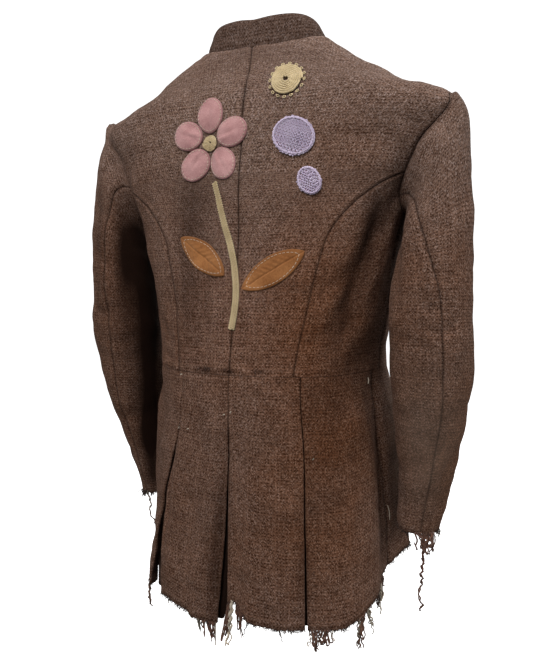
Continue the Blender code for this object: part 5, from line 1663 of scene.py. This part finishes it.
def cut_out(motif, relief, material):
    """A thick cut-out piece with a rounded edge; relief is its height by place in it."""
    spokes = 96
    angle = 2 * np.pi * np.arange(spokes) / spokes
    scales = np.concatenate([np.linspace(0.04, 0.9, 20), [0.94, 0.97, 0.99, 1.0]])
    along, aside = motif_edge(motif, angle[None], scales[:, None])
    x, level = motif_place(motif, along, aside)
    rounding = np.sqrt(np.clip(1 - np.clip((scales - 0.93) / 0.07, 0, 1) ** 2, 0, 1))[:, None]
    bulge = relief(along, aside, scales[:, None])
    height = motif.thick * (0.35 + 0.65 * rounding) + bulge * rounding
    zero = np.zeros(1)
    middle = motif_place(motif, zero, zero)
    points = np.concatenate([on_back(*middle, motif.thick + relief(zero, zero, zero)),
                             on_back(x, level, height).reshape(-1, 3),
                             on_back(x[-1], level[-1], np.zeros(spokes)), on_back(*middle, zero)])
    index = 1 + np.arange(len(scales) * spokes).reshape(len(scales), spokes)
    rim = index[-1][-1] + 1 + np.arange(spokes)
    last = len(points) - 1
    faces = [*quads(np.vstack([index, rim]), ring=True),
             *([0, a, b] for a, b in zip(index[0], np.roll(index[0], -1))),
             *([last, b, a] for a, b in zip(rim, np.roll(rim, -1)))]
    edge = np.concatenate([[0], np.repeat(np.clip((scales - 0.8) / 0.2, 0, 1), spokes),
                           np.ones(spokes), [1]])
    piece = new_object(motif.name + "_cut", points, faces, material, values={"edge": edge})
    dress(piece, ["applique_" + motif.name])


def running_stitch(name, motif, scale, relief, spacing, length, material):
    """Stitches in a row inside the edge of a cut-out piece."""
    along, aside = motif_edge(motif, np.linspace(0, 2 * np.pi, 721), scale)
    walk = np.concatenate([[0], np.cumsum(np.hypot(np.diff(along), np.diff(aside)))])
    count = int(walk[-1] / spacing)
    t = np.linspace(0, 1, 7)
    span = walk[-1] * np.arange(count)[:, None] / count + length * t
    a = np.interp(span, walk, along)
    b = np.interp(span, walk, aside)
    lift = relief(a, b, np.full(a.shape, scale)) + motif.thick - 0.0002 + 0.0007 * np.sin(np.pi * t)
    lines = on_back(*motif_place(motif, a, b), lift)
    batch = (lines, np.full(lines.shape[:2], STITCH_RADIUS), outward_at(lines), 5, STITCH_TONE)
    dress(tube_object(name, [batch], material), [])


def outward_at(points):
    """Rough outward direction of points on the back."""
    away = points * [0.6, 1.0, 0.0]
    away[..., 1] += 0.12
    return unit(away)


def yarn(line, radius, sides=6):
    """One yarn on the back, as a batch for tube_object."""
    line = line[None]
    return line, np.broadcast_to(radius, line.shape[:2]), outward_at(line), sides, 0.5


def petal_relief(along, aside, scale):
    """Height of a petal: highest in its middle, with soft folds towards the flower's middle."""
    crown = PETAL.crown * (1 - scale**2)
    toward = np.clip(-along / PETAL.long, 0, 1)
    folds = 0.0011 * np.sin(aside / PETAL.wide * 7.5) * toward
    dent = -0.0012 * np.exp(-((aside / 0.003) ** 2)) * np.clip(0.7 - along / PETAL.long, 0, 1)
    pucker = 0.0003 * np.sin(np.arctan2(aside, along) * 26) * np.clip((scale - 0.6) / 0.3, 0, 1)
    return crown + folds * (1 - scale**4) + dent * (1 - scale**2) + pucker


def leaf_relief(along, aside, scale):
    """Height of a leaf: a pressed middle vein and side veins."""
    crown = 0.0006 * (1 - scale**2)
    vein = -0.0008 * np.exp(-((aside / 0.0012) ** 2))
    side = np.sin((along + np.abs(aside) * 0.9) / 0.0075 * 2 * np.pi)
    return crown + vein + 0.00025 * side * (1 - scale**3)


def make_flower(felt, thread, gold):
    for number in range(PETALS):
        angle = 360 / PETALS * number + 90
        turned = math.radians(angle)
        petal = PETAL._replace(name=f"petal_{number + 1}", angle=angle,
                               x=FLOWER_X + math.cos(turned) * PETAL_DISTANCE,
                               level=FLOWER_LEVEL + math.sin(turned) * PETAL_DISTANCE)
        cut_out(petal, petal_relief, felt)
        running_stitch(f"petal_stitch_{number + 1}", petal, 0.88, petal_relief, 0.0048, 0.0030,
                       thread)
    coil("flower_center", FLOWER_CENTER, 0.0022, gold, picots=0)


def coil(name, motif, pitch, material, picots):
    """A disc wound of cord from its middle out, with small loops round its edge."""
    turns = motif.long / pitch
    t = np.linspace(0.15, 1, int(turns * 34))
    angle = 2 * np.pi * turns * t
    radius = (motif.long - pitch * 0.55) * t
    x, level = motif_place(motif, radius * np.cos(angle), radius * np.sin(angle))
    height = pitch * 0.5 + motif.crown * (1 - t**2) + 0.0004 * np.sin(angle * 9)
    thick = pitch * 0.55 * (1 + 0.10 * np.sin(angle * 14))
    batches = [yarn(on_back(x, level, height), thick, 8)]
    loop = np.linspace(0, 2 * np.pi, 15)
    far = motif.long + 0.0024 * (1 - np.cos(loop)) * 0.5
    for number in range(picots):
        spot = 2 * np.pi * number / picots + 0.085 * np.sin(loop)
        x, level = motif_place(motif, far * np.cos(spot), far * np.sin(spot))
        batches.append(yarn(on_back(x, level, np.full(15, 0.0009)), 0.0006))
    dress(tube_object(name + "_cord", batches, material), ["applique_" + name])


def knit(motif, material):
    """Knitted loops row by row inside an oval, as a yarn would run, with a rolled border."""
    batches = []
    for row in range(int(2 * motif.wide / KNIT_ROW)):
        middle = (row + 0.5) * KNIT_ROW - motif.wide
        share = 1 - (middle / motif.wide) ** 2
        stitches = int(2 * motif.long * math.sqrt(max(share, 0.0)) / KNIT_STITCH)
        if share <= 0.05 or stitches < 1:
            continue
        t = np.linspace(0, 2 * np.pi * stitches, 14 * stitches + 1)
        along = KNIT_STITCH * (t / (2 * np.pi) - stitches / 2 + 0.23 * np.sin(2 * t))
        aside = middle - KNIT_ROW * 0.78 * np.cos(t)
        oval = np.clip(1 - (along / motif.long) ** 2 - (aside / motif.wide) ** 2, 0, 1)
        height = 0.0012 + 0.0009 * np.cos(2 * t) + motif.crown * oval
        batches.append(yarn(on_back(*motif_place(motif, along, aside), height), KNIT_YARN))
    ring = np.linspace(0, 2 * np.pi, 140)
    for layer, (scale, lift) in enumerate(((1.0, 0.0013), (0.95, 0.0024), (0.98, 0.0005))):
        wobble = 0.0004 * np.sin(ring * 31 + layer * 2)
        x, level = motif_place(motif, (motif.long * scale + wobble) * np.cos(ring),
                               (motif.wide * scale + wobble) * np.sin(ring))
        batches.append(yarn(on_back(x, level, lift + 0.0003 * np.sin(ring * 44)), 0.0010))
    piece = tube_object(motif.name + "_knit", batches, material)
    dress(piece, ["applique_" + motif.name])


def knit_ground(motif, material):
    """The thin cloth that shows behind the loops."""
    flat = motif._replace(long=motif.long * 0.97, wide=motif.wide * 0.97)
    spokes = 48
    angle = 2 * np.pi * np.arange(spokes) / spokes
    rings = []
    for scale, height in ((1.0, 0.0), (1.0, 0.0006), (0.6, 0.0007), (0.2, 0.0007)):
        place = motif_place(flat, *motif_edge(flat, angle, scale))
        rings.append(on_back(*place, np.full(spokes, height)))
    points = np.array(rings).reshape(-1, 3)
    index = np.arange(len(points)).reshape(len(rings), spokes)
    faces = [*quads(index, ring=True), index[0], index[-1][::-1]]
    piece = new_object(motif.name + "_ground", points, faces, material,
                       values={"edge": np.zeros(len(points))})
    dress(piece, [])


def make_stem(material):
    """A flat braid of three strands along the stem, each of two yarns."""
    level = np.linspace(STEM[0][0], STEM[-1][0], 400)
    middle = read(STEM, level)
    slope = np.gradient(middle, level)
    walk = (level - level[0]) / 0.0085 * 2 * np.pi
    batches = []
    for strand in range(3):
        phase = walk + strand * 2 * np.pi / 3
        for ply in (-1, 1):
            aside = STEM_WIDTH * 0.36 * np.sin(phase) + ply * 0.0006 * np.cos(phase * 0.5)
            height = 0.0014 + 0.0008 * np.sin(2 * phase)
            x = middle + aside / np.sqrt(1 + slope**2)
            batches.append(yarn(on_back(x, level - aside * slope, height), 0.00085))
    dress(tube_object("stem_braid", batches, material), ["applique_stem"])


def make_leaves(suede, thread):
    for leaf in LEAVES:
        cut_out(leaf, leaf_relief, suede)
        running_stitch(leaf.name + "_stitch", leaf, 0.84, leaf_relief, 0.0050, 0.0032, thread)


# Studio

def look_direction():
    """The camera's forward, right and up directions from the fitted view."""
    turn = math.radians(CAMERA_TURN)
    down = math.radians(CAMERA_DOWN)
    roll = math.radians(CAMERA_ROLL)
    flat = Vector((math.sin(turn), -math.cos(turn), 0))
    side = Vector((-math.cos(turn), -math.sin(turn), 0))
    up = Vector((0, 0, 1))
    forward = flat * math.cos(down) - up * math.sin(down)
    level_up = up * math.cos(down) + flat * math.sin(down)
    right = side * math.cos(roll) + level_up * math.sin(roll)
    top = level_up * math.cos(roll) - side * math.sin(roll)
    place = -flat * CAMERA_DISTANCE + side * CAMERA_SIDE + up * CAMERA_HEIGHT
    return place, forward, right, top


def make_camera():
    place, forward, right, top = look_direction()
    data = bpy.data.cameras.new("Camera")
    data.sensor_width = SENSOR
    data.lens = FOCAL_PIXELS / FRAME_HEIGHT * SENSOR
    data.clip_start = 0.01
    camera = bpy.data.objects.new("Camera", data)
    bpy.context.scene.collection.objects.link(camera)
    rotation = Matrix((right, top, -forward)).transposed().to_4x4()
    camera.matrix_world = Matrix.Translation(place) @ rotation
    bpy.context.scene.camera = camera


def area_light(name, azimuth, elevation, distance, size, power, color=(1, 1, 1)):
    """A soft box that looks at the jacket; azimuth 0 stands at -Y and 180 at +Y."""
    aim = Vector((0, 0, -0.33))
    a = math.radians(azimuth)
    e = math.radians(elevation)
    away = Vector((math.sin(a) * math.cos(e), -math.cos(a) * math.cos(e), math.sin(e)))
    data = bpy.data.lights.new(name, "AREA")
    data.shape = "SQUARE"
    data.size = size
    data.energy = power
    data.color = color
    lamp = bpy.data.objects.new(name, data)
    lamp.location = aim + away * distance
    lamp.rotation_mode = "QUATERNION"
    lamp.rotation_quaternion = away.to_track_quat("Z", "Y")
    bpy.context.scene.collection.objects.link(lamp)


def white_surface(name):
    shader = Shader(name)
    shader.surface.inputs["Emission Color"].default_value = (1, 1, 1, 1)
    shader.surface.inputs["Emission Strength"].default_value = 1.0
    return shader.finish((0.9, 0.9, 0.9, 1), 0.8)


def make_backdrop():
    """A white studio dome and a pale floor that light the jacket no more than the room does."""
    rows = np.linspace(-90, 90, 25)
    turns = np.linspace(0, 360, 49)[:-1]
    up = np.radians(rows)[:, None]
    around = np.radians(turns)[None]
    dome = DOME_RADIUS * np.stack([np.cos(up) * np.cos(around), np.cos(up) * np.sin(around),
                                   np.sin(up) * np.ones_like(around)], -1)
    index = np.arange(dome[..., 0].size).reshape(dome.shape[:2])
    backdrop = new_object("backdrop", dome.reshape(-1, 3), quads(index, ring=True),
                          white_surface("White backdrop"), tidy=False)
    size = DOME_RADIUS * 0.95
    corners = [(-size, -size, FLOOR_LEVEL), (size, -size, FLOOR_LEVEL), (size, size, FLOOR_LEVEL),
               (-size, size, FLOOR_LEVEL)]
    floor = new_object("floor", corners, [[0, 1, 2, 3]], white_surface("Pale floor"),
                       tidy=False)
    for item in (backdrop, floor):
        item.visible_diffuse = False
        item.visible_glossy = False
        item.visible_shadow = False


def make_studio():
    scene = bpy.context.scene
    scene.view_settings.view_transform = "Standard"
    scene.view_settings.look = "None"
    world = bpy.data.worlds.new("Studio")
    world.use_nodes = True
    background = world.node_tree.nodes["Background"]
    background.inputs["Color"].default_value = (1, 0.98, 0.96, 1)
    background.inputs["Strength"].default_value = ROOM_LIGHT
    scene.world = world
    make_backdrop()
    area_light("Key", 177, 42, 2.4, 1.2, 53, (1.0, 0.98, 0.97))
    area_light("Top", 228, 72, 2.2, 1.2, 22)
    area_light("Right", 276, 12, 2.4, 1.2, 25)
    area_light("Front", 350, 40, 2.8, 1.6, 36)


def main():
    make_camera()
    make_studio()
    wool = wool_material()
    threads = thread_material()
    gold = yarn_material("Pale gold yarn", (0.30, 0.20, 0.085, 1), (0.80, 0.66, 0.40, 1), 0.6)
    lilac = yarn_material("Lilac yarn", (0.36, 0.26, 0.42, 1), (0.76, 0.68, 0.82, 1))
    felt = felt_material()
    suede = suede_material()
    make_bodice(wool)
    make_seam_allowances(wool)
    make_collar(wool)
    make_sleeves(wool)
    edges = make_skirt(wool)
    make_fringes(edges, threads)
    make_buttons(horn_material(), threads)
    make_buttonholes(threads)
    make_tacks(threads)
    make_flower(felt, threads, gold)
    make_leaves(suede, threads)
    for bud in BUDS:
        knit(bud, lilac)
        knit_ground(bud, felt)
    coil("rosette", ROSETTE, 0.0028, gold, picots=16)
    make_stem(gold)


main()
